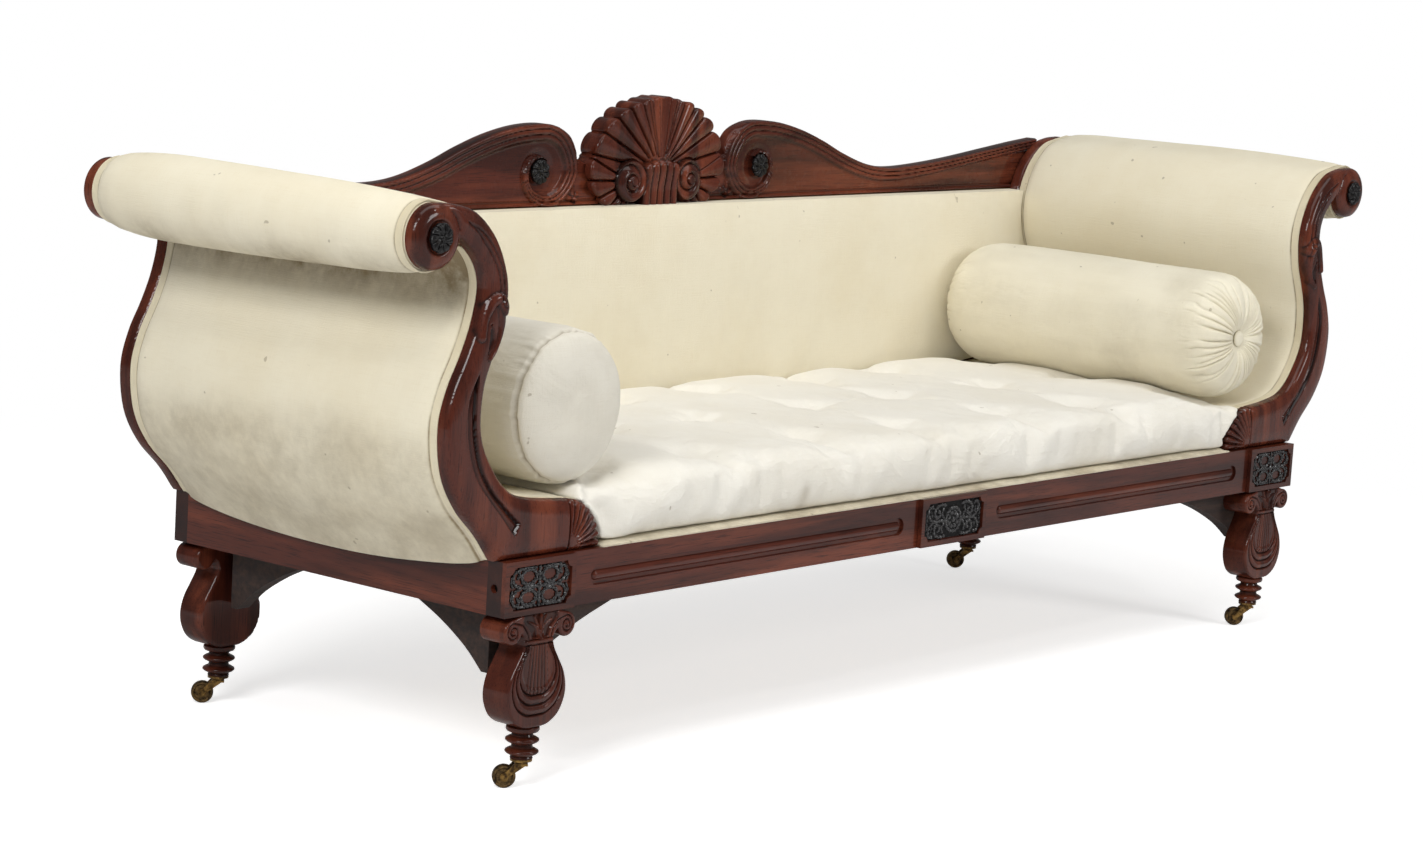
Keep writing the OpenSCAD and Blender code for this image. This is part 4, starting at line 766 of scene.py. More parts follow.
def carved_crest(x, z):
    edge = outline_distance(x, z, crest_half_outline)
    height = -eased(edge, 0.004)
    # Grime and painted shade fill the cuts between the reeds, the volutes' hollows, the bead's
    # line, the rosette's seat and the edges of the leaves.
    grime_and_shade = np.zeros(x.shape)
    top_gap, _ = line_distance(x, z, crest_top[30:])
    band = 0.026 - 0.009 * soft(x, 0.35, 1.0)
    share = np.where(x > VOLUTE_X, top_gap / band, NOWHERE)
    far = np.hypot(x - VOLUTE_X, z - VOLUTE_RISE)
    turn = np.arctan2(VOLUTE_X - x, z - VOLUTE_RISE)
    for lap in (0, 1):
        wound = np.where(turn < 0, turn + 2 * math.pi, turn) + lap * 2 * math.pi
        usable = (wound <= WINDING_TURNS[-1]) & ((turn >= 0) | (wound > math.pi))
        reach = np.interp(wound, WINDING_TURNS, WINDING_REACH)
        width = np.interp(wound, WINDING_TURNS, WINDING_WIDTH)
        lap_share = (reach - far) / width
        share = np.where(usable & (lap_share > -0.05) & (lap_share < 1.15), lap_share, share)
    phase = folded(share * REEDS)
    reeded = (share >= 0) & (share < 1)
    height += np.where(reeded, 0.0040 * dome(phase) - 0.0014, 0)
    height -= np.where(share >= 1, 0.0035 * np.clip((share - 1) * 6, 0, 1), 0)
    grime_and_shade += np.where(reeded, 0.95 * soft(phase, 0.66, 0.97), 0)
    grime_and_shade += np.where(share >= 1, 0.6 * bell((share - 1.03) / 0.07), 0)
    # The eye is dished, and the bead lies on the bottom edge
    height -= 0.0025 * soft(far, 0.040, 0.022) * (share > 1)
    grime_and_shade += 0.7 * bell((far - ROSETTE_SEAT) / 0.0014)
    height += 0.0035 * bell((z - 0.003) / 0.0028)
    cut = np.abs(z - 0.0085)
    height, grime_and_shade = scored(height, grime_and_shade, cut, 0.0018, 0.0022, 0.7, 0.0016)
    # Three small leaves between the volute and the shell
    root = (0.186, 0.010)
    for tip in ((0.190, 0.034), (0.205, 0.016), (0.176, 0.020)):
        bow = ((root[0] + tip[0]) / 2 + 0.002, (root[1] + tip[1]) / 2)
        leaf, run = line_distance(x, z, smooth_line([root, bow, tip], 5))
        full = hump(leaf / (0.0048 * np.sin(math.pi * np.clip(run, 0.12, 0.95))))
        height += 0.0035 * full
        grime_and_shade += 0.6 * bell((leaf - 0.0052) / 0.0014) * (run < 0.99)
    return edge, height, grime_and_shade


crest_wood = mahogany("crest_mahogany", "X", 1.05, 0.24)
low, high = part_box("crest_board")
half_crest = carve(carved_crest, (0.0, -0.003), (1.086, 0.137), 0.0018)
for side, word in SIDES:
    board(f"crest_half_{word}", "crest_board", half_crest, low[1], high[1], crest_wood, side,
          (0, low[2]))


# ---- Shell
# A scallop carved from a thick block and planted on the crest: a broad flat lobe in the middle,
# hollow side lobes that flare forward, two small volutes at the foot and a ruffle between them.
SHELL_HALF, SHELL_HEIGHT, SHELL_HUB = 0.165, 0.174, 0.052
VOLUTE_EYE, VOLUTE_SIZE = (0.070, 0.038), 0.033
FAN_START, FAN_RIB = math.radians(24), math.radians(22.4)
SHELL_CUTS = np.radians([-38, -22, -5, 11, 26, 40, 53, 65, 115, 127, 140, 154, 169, 185, 202, 218])
MIDDLE_LOBE, LOBE_REEDS, FAINT_REEDS = 7, (0.13, 0.20, 0.80, 0.87), (0.36, 0.64)
RUFFLE_HALF, RUFFLE_FOLD, VOLUTE_HEART = 0.042, 0.0165, 0.0068


def shell_reach(turn):
    high_side = np.where(np.sin(turn) > 0, SHELL_HEIGHT - SHELL_HUB, SHELL_HUB * 1.5)
    return 1 / np.hypot(np.cos(turn) / SHELL_HALF, np.sin(turn) / high_side)


def carved_shell(x, z):
    wide = np.abs(x)
    far = np.hypot(x, z - SHELL_HUB)
    turn = np.arctan2(z - SHELL_HUB, x)
    turn = np.where(turn < -math.pi / 2, turn + 2 * math.pi, turn)
    lobe = np.clip(np.searchsorted(SHELL_CUTS, turn) - 1, 0, len(SHELL_CUTS) - 2)
    start, end = SHELL_CUTS[lobe], SHELL_CUTS[lobe + 1]
    share = np.clip((turn - start) / (end - start), 0, 1)
    lobe_width = (end - start) * far
    gap = np.minimum(share, 1 - share) * lobe_width
    # Below, a small fan of ribs spreads from each volute instead
    spread, fall = np.hypot(wide - VOLUTE_EYE[0], z - VOLUTE_EYE[1]), FAN_START - np.arctan2(
        z - VOLUTE_EYE[1], wide - VOLUTE_EYE[0])
    low_fan = (wide > VOLUTE_EYE[0]) & (fall > 0)
    share = np.where(low_fan, fall / FAN_RIB % 1, share)
    gap = np.where(low_fan, np.minimum(share, 1 - share) * FAN_RIB * spread, gap)
    middle = (lobe == MIDDLE_LOBE) & ~low_fan
    arch = dome(2 * share - 1)
    broad = 0.985 + 0.015 * np.sin(share * math.pi * 4) ** 2 - 0.04 * (1 - arch)
    scallop = np.where(middle, broad, 0.93 + 0.07 * arch)
    reach = shell_reach(turn) * scallop
    edge = np.maximum(far - reach, -z)
    rise = np.clip(far / reach, 0, 1)
    # The middle lobe stands proud, the side lobes fall back and flare at their rims
    side_fall = soft(np.abs(turn - math.pi / 2), math.radians(24), math.radians(85))
    body = 0.0175 - 0.0095 * side_fall + 0.003 * rise * side_fall
    ridge = np.where(middle, 0.0015 * np.cos((share - 0.5) * math.pi),
                     0.0078 * (arch - 0.55) * soft(rise, 0.10, 0.5))
    height, grime_and_shade = body + ridge - eased(edge, 0.005), 0
    # Grime and painted shade down in the reeds and in the cuts between the lobes.
    for lines, depth, dark in ((LOBE_REEDS, 0.0030, 0.7), (FAINT_REEDS, 0.0018, 0)):
        for line in lines:
            cut = np.where(middle & (rise > 0.2), np.abs(share - line) * lobe_width, NOWHERE)
            height, grime_and_shade = scored(height, grime_and_shade, cut, 0.0017, depth, dark, 0.0015)
    cut = np.where(rise > 0.25, gap, NOWHERE)
    height, grime_and_shade = scored(height, grime_and_shade, cut, 0.0022, 0.0035, 0.9, 0.0022)
    # The ruffle between the volutes: upright folds with round tops
    fold = folded(x / RUFFLE_FOLD + 0.5)
    crown = 0.066 - 4.5 * wide ** 2 + 0.006 * dome(fold) - z
    ruffle = (wide < RUFFLE_HALF) & (crown > 0)
    curl = 0.0150 + 0.0072 * dome(fold) + 0.0040 * soft(z, 0.02, 0.056)
    height = np.where(ruffle, curl - eased(-crown, 0.009), height)
    # Painted shade down in the ruffle's folds, and the painted shadow of its top on the lobes
    # behind it.
    grime_and_shade = np.where(ruffle, 0.95 * soft(fold, 0.66, 0.98), grime_and_shade)
    grime_and_shade += 0.7 * bell((crown + 0.0012) / 0.0016) * (wide < RUFFLE_HALF)
    # The small volutes
    eye = np.hypot(wide - VOLUTE_EYE[0], z - VOLUTE_EYE[1])
    wind = np.arctan2(z - VOLUTE_EYE[1], wide - VOLUTE_EYE[0])
    volute = eye < VOLUTE_SIZE
    lap = (np.log(np.maximum(eye, 0.001) / VOLUTE_SIZE) / math.log(0.40) - wind / (2 * math.pi)) % 1
    coil = np.where(eye < VOLUTE_HEART, 1.0, np.sin(math.pi * lap) ** 0.7)
    height = np.where(volute, 0.0135 + 0.0072 * coil + 0.0045 * soft(eye, 0.026, 0.004), height)
    # Painted shade down the volute's spiral and in the groove round it.
    grime_and_shade = np.where(volute, 0.9 * bell(np.minimum(lap, 1 - lap) / 0.09) * (eye > 0.0062), grime_and_shade)
    grime_and_shade += 0.85 * bell((eye - VOLUTE_SIZE - 0.0007) / 0.0016) * (z > 0.008)
    height -= 0.003 * bell((eye - VOLUTE_SIZE - 0.0013) / 0.0018)
    height = np.maximum(height, 0.002)
    return edge, height, grime_and_shade


shell_wood = mahogany("shell_mahogany", "Z", 0.95, 0.2)
_, board_face, crest_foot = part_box("crest_board")[0]
shell = carve(carved_shell, (-0.175, -0.003), (0.175, 0.180), 0.0012)
board("carved_shell", "crest_shell", shell, board_face, board_face, shell_wood, 1, (0, crest_foot))


def shell_back(x, z):
    """The block's back, which stands on the step of the crest rail."""
    edge = carved_shell(x, z)[0]
    return np.maximum(edge, CREST_STEP + 0.0006 - z), 0 * x, 0 * x


rear = carve(shell_back, (-0.175, 0.060), (0.175, 0.180), 0.002)
board("shell_block", "crest_shell", rear, board_face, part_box("crest_shell")[1][1], shell_wood, 1,
      (0, crest_foot))


# ---- Seat deck
# A stuffed platform inside the seat frame, covered with the same cream cotton as the arms. Its
# thin edge shows over the front rail. The cloth is plain woven, and has yellowed and soiled.
# The darkest cloth colour serves both for grime and for painted shade.
CREAM, CREAM_SHADE, SOILED_AND_SHADED = rgb(243, 235, 211), rgb(231, 218, 186), rgb(146, 130, 101)
THREAD_WAVE, CLOTH_RELIEF = 5200, 0.0005


def cotton(name, light, shade, worn=0.35, creased=0.0):
    """Plain-woven cotton. Its threads follow the map called weave, in metres, and a mark on its
    points darkens it with grime and painted shade. Loose cloth is creased by so many metres."""
    cloth = Finish(name)
    weave = cloth.node("ShaderNodeUVMap", {"uv_map": "weave"})
    warp, weft = ((cloth.part(weave, axis) * THREAD_WAVE).sine() for axis in ("X", "Y"))
    slubs = [cloth.noise(cloth.node("ShaderNodeMapping", None, {"Vector": weave, "Scale": scale}),
                         700, 2, 0.6) for scale in ((1, 0.03, 1), (0.03, 1, 1))]
    slub = slubs[0] + slubs[1] - 1
    cloud = cloth.noise(cloth.place(), 4.5, 4, 0.62)
    fleck = cloth.noise(cloth.place(), 60, 1, 0.4).between(0.775, 0.80)
    colour = cloth.mix(cloud.between(0.38, 0.68) * worn, light, shade)
    colour = cloth.mix(slub.between(0.02, 0.30) * 0.25, colour, shade)
    relief = warp * weft * 0.25 + slub
    if creased:
        folds = cloth.place((1, 1, 1.6), (0.3, 0.2, 0.7))
        ridge = (cloth.noise(folds, 9, 3, 0.55, 0.9) - 0.5).absolute()
        crinkle = (cloth.noise(folds, 26, 3, 0.6, 0.7) - 0.5).absolute()
        relief = relief - (ridge * 5 + crinkle * 1.4) * (creased / CLOTH_RELIEF)
    blotch = cloth.noise(cloth.place(), 11, 6, 0.68).between(0.34, 0.66)
    mottle = cloth.noise(cloth.place(), 45, 4, 0.7).between(0.30, 0.70)
    # The mark on the points darkens the cloth with grime and with painted shade.
    soiling_and_shade = cloth.attribute("soil_and_shade") * (blotch * 0.55 + mottle * 0.30 + 0.48)
    colour = cloth.mix(soiling_and_shade, colour, SOILED_AND_SHADED)
    colour = cloth.mix(fleck * 0.5, colour, SOILED_AND_SHADED)
    return cloth.surface({
        "Base Color": colour, "Roughness": slub * 0.2 + 0.86, "Specular IOR Level": 0.2,
        "Sheen Weight": 0.08, "Sheen Roughness": 0.6,
        "Normal": cloth.bump(relief, CLOTH_RELIEF)})


def read(items, key, kind=float, each=1):
    """One value, or each so many, of all the items of a mesh."""
    values = np.zeros(len(items) * each, kind)
    items.foreach_get(key, values)
    return values.reshape(-1, each) if each > 1 else values


def lay_weave(mesh):
    """Lays the cloth's threads on a mesh, in metres, from the side that each face looks to."""
    place = read(mesh.vertices, "co", each=3)[read(mesh.loops, "vertex_index", int)]
    facing = np.repeat(np.argmax(np.abs(read(mesh.polygons, "normal", each=3)), 1),
                       read(mesh.polygons, "loop_total", int))
    first = np.where(facing == 0, place[:, 2], place[:, 0])
    second = np.where(facing == 1, place[:, 2], place[:, 1])
    layer = mesh.uv_layers.new(name="weave")
    layer.data.foreach_set("uv", np.stack([first, second], 1).astype(np.float32).ravel())


def rumple(u, v, size, seed):
    """The slow swell of stuffed cloth, from -1 to 1, in lumps about one size across."""
    table = np.random.RandomState(seed).uniform(-1, 1, (64, 64))
    i, j = np.floor(u / size).astype(int), np.floor(v / size).astype(int)
    s, t = u / size - i, v / size - j
    s, t = s * s * (3 - 2 * s), t * t * (3 - 2 * t)
    low = table[i % 64, j % 64] * (1 - s) + table[(i + 1) % 64, j % 64] * s
    high = table[i % 64, (j + 1) % 64] * (1 - s) + table[(i + 1) % 64, (j + 1) % 64] * s
    return low * (1 - t) + high * t


def outward(mesh):
    """Turns the faces of a closed mesh outwards."""
    shell = bmesh.new()
    shell.from_mesh(mesh)
    bmesh.ops.recalc_face_normals(shell, faces=shell.faces)
    shell.to_mesh(mesh)
    shell.free()


def sewn(name, points, faces, material, body, crease=None, soil_and_shade=None, fill=None):
    """A closed cloth piece, with its threads and its marks of grime and painted shade. How firmly
    it is stuffed, fill, is not used.
    """
    mesh = bpy.data.meshes.new(name)
    mesh.from_pydata(points, [], faces)
    outward(mesh)
    if soil_and_shade is not None:
        mark(mesh, "soil_and_shade", soil_and_shade)
    lay_weave(mesh)
    made = finished(name, mesh, material, body, crease)
    return made


def stuffed(name, node, front, back, material, soil_and_shade=None, fill=0.7):
    """A closed pad between two grids of places, with its face on the first."""
    n, m = front.shape[:2]
    at = np.arange(n * m).reshape(n, m)
    quads = np.stack([at[:-1, :-1], at[1:, :-1], at[1:, 1:], at[:-1, 1:]], -1).reshape(-1, 4)
    rim = np.concatenate([at[0, :-1], at[:-1, -1], at[-1, :0:-1], at[:0:-1, 0]])
    after = np.roll(rim, -1)
    walls = np.stack([after, rim, rim + n * m, after + n * m], 1)
    if soil_and_shade is not None:
        soil_and_shade = np.concatenate([np.clip(soil_and_shade, 0, 1).ravel(), np.zeros(n * m)])
    piece = sewn(name, np.concatenate([front.reshape(-1, 3), back.reshape(-1, 3)]).tolist(),
                 np.concatenate([quads, quads[:, ::-1] + n * m, walls]).tolist(), material,
                 "frame", 55, soil_and_shade, fill)
    stand_in(piece, node)
    return piece


def table(first, second, rows, columns):
    """Two grids of values, from rows values between one pair and columns between the other."""
    return np.meshgrid(np.linspace(*first, rows), np.linspace(*second, columns), indexing="ij")


cover_cotton = cotton("cover_cotton", CREAM, CREAM_SHADE)
DECK_HALF, DECK_EDGE = 0.796, 0.004
low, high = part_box("seat_deck")
DECK_TOP = high[2]
x, y = table((-DECK_HALF, DECK_HALF), (low[1], high[1]), 134, 56)
near = np.min([x + DECK_HALF, DECK_HALF - x, y - low[1], high[1] - y], axis=0)
top = DECK_TOP - DECK_EDGE * np.exp(-near / 0.003) + 0.0006 * rumple(x, y, 0.05, 3)
# The cover is darker towards its edges, and faintly clouded.
stuffed("deck_cover", "seat_deck", np.stack([x, y, np.minimum(top, DECK_TOP)], -1),
        np.stack([x, y, 0 * x + RAIL_TOP], -1), cover_cotton,
        0.55 - 0.35 * soft(near, 0.0, 0.05) + 0.1 * rumple(x, y, 0.07, 5))
low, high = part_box("seat_webbing")
x, y = table((low[0], high[0]), (low[1], high[1]), 60, 24)
under = high[2] + 0.001 + 0.0012 * np.abs(rumple(x, y, 0.08, 4))
stuffed("deck_stuffing", "seat_deck", np.stack([x, y, 0 * x + RAIL_TOP], -1),
        np.stack([x, y, under], -1), cotton("hessian", rgb(186, 160, 116), rgb(150, 122, 82)))


# ---- Arm padding
# Hair and wadding under cotton, from the seat up the inside of each arm and round its roll. The
# cloth is tacked along the facings, and pulls into small dimples there. The rolls sag unevenly.
ARM_FRONT, ARM_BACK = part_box("facing_front_right")[1][1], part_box("facing_back_right")[0][1]
PAD_THICK, INSIDE_SWELL, ROLL_SWELL, ROLL_START = 0.013, 0.008, 0.004, 0.72
STRIP_BED, BED_DEPTH, FINE_SHARE = (0.012, 0.021), 0.0035, 0.03


def even_line(line, step):
    """The same line in equal steps."""
    run = np.concatenate([[0], np.cumsum(np.hypot(*np.diff(line, axis=0).T))])
    at = np.linspace(0, run[-1], int(round(run[-1] / step)) + 1)
    return np.stack([np.interp(at, run, line[:, i]) for i in (0, 1)], 1)


def leftward(line):
    """The unit normals on the left of a line."""
    ahead = np.gradient(line, axis=0)
    ahead /= np.linalg.norm(ahead, axis=1)[:, None]
    return np.stack([-ahead[:, 1], ahead[:, 0]], 1)


def arc(centre, radius, first, last, count):
    turn = np.radians(np.linspace(first, last, count))
    return np.stack([centre[0] + radius * np.cos(turn), centre[1] + radius * np.sin(turn)], 1)


def hung(line, side, offset):
    """A grid of places along a line in X and Z and across an arm, lifted from the line. With it
    come the shares along the line and across the arm, and the distance to the nearer facing."""
    fine = np.linspace(0, FINE_SHARE, 15)
    across = np.concatenate([fine[:-1], np.linspace(FINE_SHARE, 1 - FINE_SHARE, 55),
                             1 - fine[-2::-1]])
    s, w = np.meshgrid(np.linspace(0, 1, len(line)), across, indexing="ij")
    edge = np.minimum(w, 1 - w) * (ARM_BACK - ARM_FRONT)
    lift = offset(s, w, edge)
    out = leftward(line)
    x, z = (line[:, i][:, None] + out[:, i][:, None] * lift for i in (0, 1))
    return np.stack([x * side, ARM_FRONT + (ARM_BACK - ARM_FRONT) * w, z], -1), s, w, edge


def tacked(swell, s, w, edge, seed, length, lump, pucker, fade):
    """The swell of padding under cloth, with slow lumps over its length, puckers at the tacks, and
    a lower bed beside each facing for the strip that covers them."""
    swell = swell + lump[0] * rumple(s * length, w * 0.6, lump[1], seed) * soft(edge, 0.0, lump[2])
    folds = rumple(s * length, w * 0.01, pucker[1], seed + 1)
    swell = swell + pucker[0] * folds * np.exp(-edge / fade) * soft(edge, 0.012, 0.02)
    return swell - BED_DEPTH * (1 - soft(edge, *STRIP_BED))


def pad_swell(seed, roll, peak):
    """How far the padding stands off the facing's line: the roll swells most at its peak."""
    def lift(s, w, edge):
        inside = INSIDE_SWELL * hump(2 * w - 1) ** 0.6 * soft(s, 0.12, 0.30)
        skew = np.clip(np.where(w < peak, w / peak, (1 - w) / (1 - peak)), 0, 1)
        round_roll = roll * (1 - (1 - skew) ** 2.4) ** 0.8
        rolled = soft(s, ROLL_START - 0.08, ROLL_START)
        swell = inside * (1 - rolled) + round_roll * rolled
        swell = swell * (1 - 0.55 * soft(s, 0.955, 1.0))
        return tacked(swell, s, w, edge, seed, 0.82, (0.0012, 0.09, 0.06), (0.0011, 0.014), 0.018)
    return lift


def dark_seam(s, edge, seed):
    """Grime and painted shade in the crease along the inner edge of each glued strip."""
    return (0.85 + 0.3 * rumple(s, 0 * s, 0.05, seed)) * bell((edge - 0.0149) / 0.0013)


pad_line = even_line(np.vstack([
    arc((FAN_X, FAN_Z), FAN_RADIUS, 180 + math.degrees(math.asin(FAN_RISE / FAN_RADIUS)), 92, 24),
    arm_inner[:-6], arc((SCROLL_X, SCROLL_Z), SCROLL_RADIUS + ROLL_SWELL, 88, -166, 60)]), 0.008)
PAD_SWELLS = (pad_swell(11, 0.0125, 0.74), pad_swell(21, 0.0085, 0.6))
for (side, word), swell in zip(SIDES, PAD_SWELLS):
    face, s, w, edge = hung(pad_line, side, swell)
    back = hung(pad_line, side, lambda s, w, edge: 0 * s - PAD_THICK)[0]
    # Painted shade with grime under the roll and round its lower side, mottled, and darker beside
    # each facing; the right arm has less of it.
    soil_and_shade = soft(s, 0.85, 0.975) * (0.6 + 0.35 * rumple(s, w, 0.07, 31))
    soil_and_shade += 0.25 * soft(s, 0.80, 0.93) * (0.5 + 0.5 * rumple(s * 2, w * 2, 0.1, 32))
    soil_and_shade += 0.10 * np.exp(-np.minimum(w, 1 - w) / 0.03)
    if side > 0:
        soil_and_shade = soil_and_shade * 0.4
    for grid in (face, back):
        grid[..., 2] = np.maximum(grid[..., 2], RAIL_TOP)
    stuffed(f"arm_padding_{word}", f"arm_pad_{word}", face, back, cover_cotton,
            soil_and_shade + dark_seam(s, edge, 33 + side), 0.85)


# ---- Outside covers
# Cotton over a little wadding, from the notch under each roll down the outside of the arm. The
# lower edge hangs in a slack curve over the end rail. The left one is soiled along its foot.
COVER_THICK, COVER_SWELL, COVER_HANG, TIDE = 0.004, 0.0095, 0.024, 0.575
FACE_STAND, BACK_STAND = 0.9985, 0.9955
cover_line = even_line(arm_outer[::-1][5:], 0.008)
for side, word in SIDES:
    def cover_swell(s, w, edge):
        swell = COVER_SWELL * hump(2 * w - 1) ** 0.6
        swell = swell * (0.35 + 0.65 * soft(s, 0.0, 0.25)) * (1 - 0.4 * soft(s, 0.8, 1))
        return tacked(swell, s, w, edge, 41 + side, 0.45, (0.0018, 0.11, 0.07), (0.0010, 0.016),
                      0.02)

    face, s, w, edge = hung(cover_line, side, cover_swell)
    back = hung(cover_line, side, lambda s, w, edge: 0 * s - COVER_THICK)[0]
    drop = COVER_HANG * hump(2 * w - 1) ** 0.75 * soft(s, 0.55, 1.0)
    # Each lies on the end rail, and keeps just outside it
    for grid, stand in ((face, FACE_STAND), (back, BACK_STAND)):
        grid[..., 2] -= drop
        grid[..., 0] = side * np.maximum(np.abs(grid[..., 0]), stand)
    tide = TIDE + 0.030 * rumple(w, 0 * w, 0.31, 51) + 0.012 * rumple(w, 0 * w, 0.11, 52)
    low_soil = soft(s, tide - 0.06, tide + 0.09) * (0.33 + 0.05 * soft(s, tide + 0.10, 0.93))
    line = 0.13 * bell((s - tide - 0.05) / 0.04) * (0.5 + 0.5 * rumple(w, 0 * w, 0.22, 54))
    # Painted shade: darker just under the roll, where the roll shades the cover, and beside each
    # facing.
    shade = 0.97 * (1 - soft(s, 0.11, 0.27)) + 0.08 * np.exp(-np.minimum(w, 1 - w) / 0.03)
    soil_and_shade = (low_soil + line) * (1.0 if side < 0 else 0.45) + shade + 0.04
    stuffed(f"outside_cover_{word}", f"arm_cover_{word}", face, back, cover_cotton,
            soil_and_shade + dark_seam(s, edge, 45 + side), 0.6)


# ---- Gimp
# Narrow strips of the same cotton, glued over the tacks along every facing. Each strip is folded
# under, so that two rounded edges show as a double line.
def strip_tree():
    """Sweeps a flat strip with two cords along a line whose points carry a direction, out."""
    tree = bpy.data.node_groups.new("gimp_strip", "GeometryNodeTree")
    group, sweep = tree.interface, Nodes(tree)
    group.new_socket("Geometry", in_out="INPUT", socket_type="NodeSocketGeometry")
    for size, value in (("Strip width", 0.013), ("Strip thickness", 0.0016),
                        ("Cord radius", 0.0014), ("Cord spacing", 0.0094)):
        group.new_socket(size, in_out="INPUT", socket_type="NodeSocketFloat").default_value = value
    group.new_socket("Cloth", in_out="INPUT", socket_type="NodeSocketMaterial")
    group.new_socket("Geometry", in_out="OUTPUT", socket_type="NodeSocketGeometry")
    inputs = tree.nodes.new("NodeGroupInput").outputs
    given = {socket.name: Field(sweep, socket) for socket in inputs if socket.name}

    path = sweep.node("GeometryNodeMeshToCurve", None, {"Mesh": given["Geometry"]})
    out = sweep.node("GeometryNodeInputNamedAttribute", {"data_type": "FLOAT_VECTOR"},
                     {"Name": "out"})
    path = sweep.node("GeometryNodeSetCurveNormal", {"mode": "FREE"},
                      {"Curve": path, "Normal": out})

    def swept(outline):
        return sweep.node("GeometryNodeCurveToMesh", None,
                          {"Curve": path, "Profile Curve": outline, "Fill Caps": True})

    parts = [swept(sweep.node("GeometryNodeCurvePrimitiveQuadrilateral", {"mode": "RECTANGLE"}, {
        "Width": given["Strip thickness"], "Height": given["Strip width"]}))]
    for side in (-0.5, 0.5):
        cord = sweep.node("GeometryNodeCurvePrimitiveCircle", None,
                          {"Resolution": 8, "Radius": given["Cord radius"]})
        shift = sweep.node("ShaderNodeCombineXYZ", None, {"Y": given["Cord spacing"] * side})
        parts.append(swept(sweep.node("GeometryNodeTransform", None,
                                      {"Geometry": cord, "Translation": shift})))
    joined = tree.nodes.new("GeometryNodeJoinGeometry")
    for part in reversed(parts):
        tree.links.new(part.socket, joined.inputs[0])
    real = sweep.node("GeometryNodeRealizeInstances", None,
                      {"Geometry": Field(sweep, joined.outputs[0])})
    sweep.node("NodeGroupOutput", None, {0: sweep.node(
        "GeometryNodeSetMaterial", None, {"Geometry": real, "Material": given["Cloth"]})})
    return tree


def baked(thing):
    """The mesh of an object with its modifiers applied."""
    return bpy.data.meshes.new_from_object(
        thing.evaluated_get(bpy.context.evaluated_depsgraph_get()))


def strip(name, runs, cloth, tree):
    """Strips along runs of places, each with the direction that the cloth faces there."""
    edges, start = [], 0
    for line, _ in runs:
        edges += [(start + i, start + i + 1) for i in range(len(line) - 1)]
        start += len(line)
    source = bpy.data.meshes.new(name + "_path")
    source.from_pydata(np.vstack([r[0] for r in runs]).tolist(), edges, [])
    layer = source.attributes.new("out", "FLOAT_VECTOR", "POINT")
    layer.data.foreach_set("vector", np.vstack([r[1] for r in runs]).astype(np.float32).ravel())
    guide = linked(name + "_path", source)
    grown = guide.modifiers.new("sweep", "NODES")
    grown.node_group = tree
    grown[tree.interface.items_tree["Cloth"].identifier] = cloth
    mesh = baked(guide)
    bpy.data.objects.remove(guide)
    mesh.name = name
    mesh.materials.clear()
    outward(mesh)
    lay_weave(mesh)
    return finished(name, mesh, cloth, "frame", 50)


strip_cotton = cotton("strip_cotton", rgb(228, 218, 190), rgb(206, 193, 160), 0.6)
gimp_tree = strip_tree()
STRIP_MIDDLE, STRIP_LIFT, STRIP_FLAT = 0.0075, -0.0012, 0.022
for side, word in SIDES:
    runs = []
    for line in (pad_line[8:-1], cover_line[1:]):
        out = leftward(line)
        for y in (ARM_FRONT + STRIP_MIDDLE, ARM_BACK - STRIP_MIDDLE):
            x, z = (line + out * STRIP_LIFT).T
            place = np.stack([x * side, 0 * x + y, np.maximum(z, RAIL_TOP + 0.001)], 1)
            runs.append((place, np.stack([out[:, 0] * side, 0 * x, out[:, 1]], 1)))
    piece = strip(f"arm_gimp_{word}", runs, strip_cotton, gimp_tree)


# ---- Back
# The front of the back is a stuffed panel, cut to the curve of each arm, and tight as a drum but
# for one small crease. Behind the frame of posts and rails a single cloth closes it.
BACK_SWELL, BACK_THICK = 0.012, 0.034
CREASE_X, CREASE_Z = 0.165, 0.499


def across_back(half_widths, heights, columns):
    """Places across the back: shares from side to side and up it, then X and Z."""
    u, v = table((-1, 1), (0, 1), columns, len(heights))
    return u, v, u * half_widths, 0 * u + heights


low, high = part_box("back_pad")
rise = np.linspace(low[2], high[2], 40)
above_foot = arm_inner[(arm_inner[:, 1] > RAIL_TOP + ARM_INNER[2][1] * SCROLL_RISE) & (
    np.arange(len(arm_inner)) < np.argmax(arm_inner[:, 1]))]
half_width = np.interp(rise, [FAN_Z + FAN_RADIUS, *above_foot[:, 1]],
                       [FOOT_TIP - 0.006, *(above_foot[:, 0] - 0.004)])
u, v, x, z = across_back(half_width, rise, 151)
swell = BACK_SWELL * (1 - np.abs(u) ** 10) * (1 - np.abs(2 * v - 1) ** 4)
swell += 0.0012 * rumple(x, z, 0.16, 61) * (1 - u ** 8)
swell -= 0.0022 * bell(np.hypot((x - CREASE_X - 0.10 * (z - CREASE_Z)) / 0.006,
                                (z - CREASE_Z) / 0.045))
swell += 0.0012 * bell(np.hypot((x - CREASE_X - 0.012) / 0.007, (z - CREASE_Z) / 0.05))
# The panel is darker towards the bottom, and faintly clouded.
stuffed("back_padding", "back_pad", np.stack([x, high[1] - BACK_THICK - swell, z], -1),
        np.stack([x, 0 * x + high[1] - 0.001, z], -1), cover_cotton,
        0.25 * (1 - soft(v, 0.0, 0.2)) * (0.6 + 0.4 * rumple(x, z, 0.1, 62)) + 0.05, 0.9)

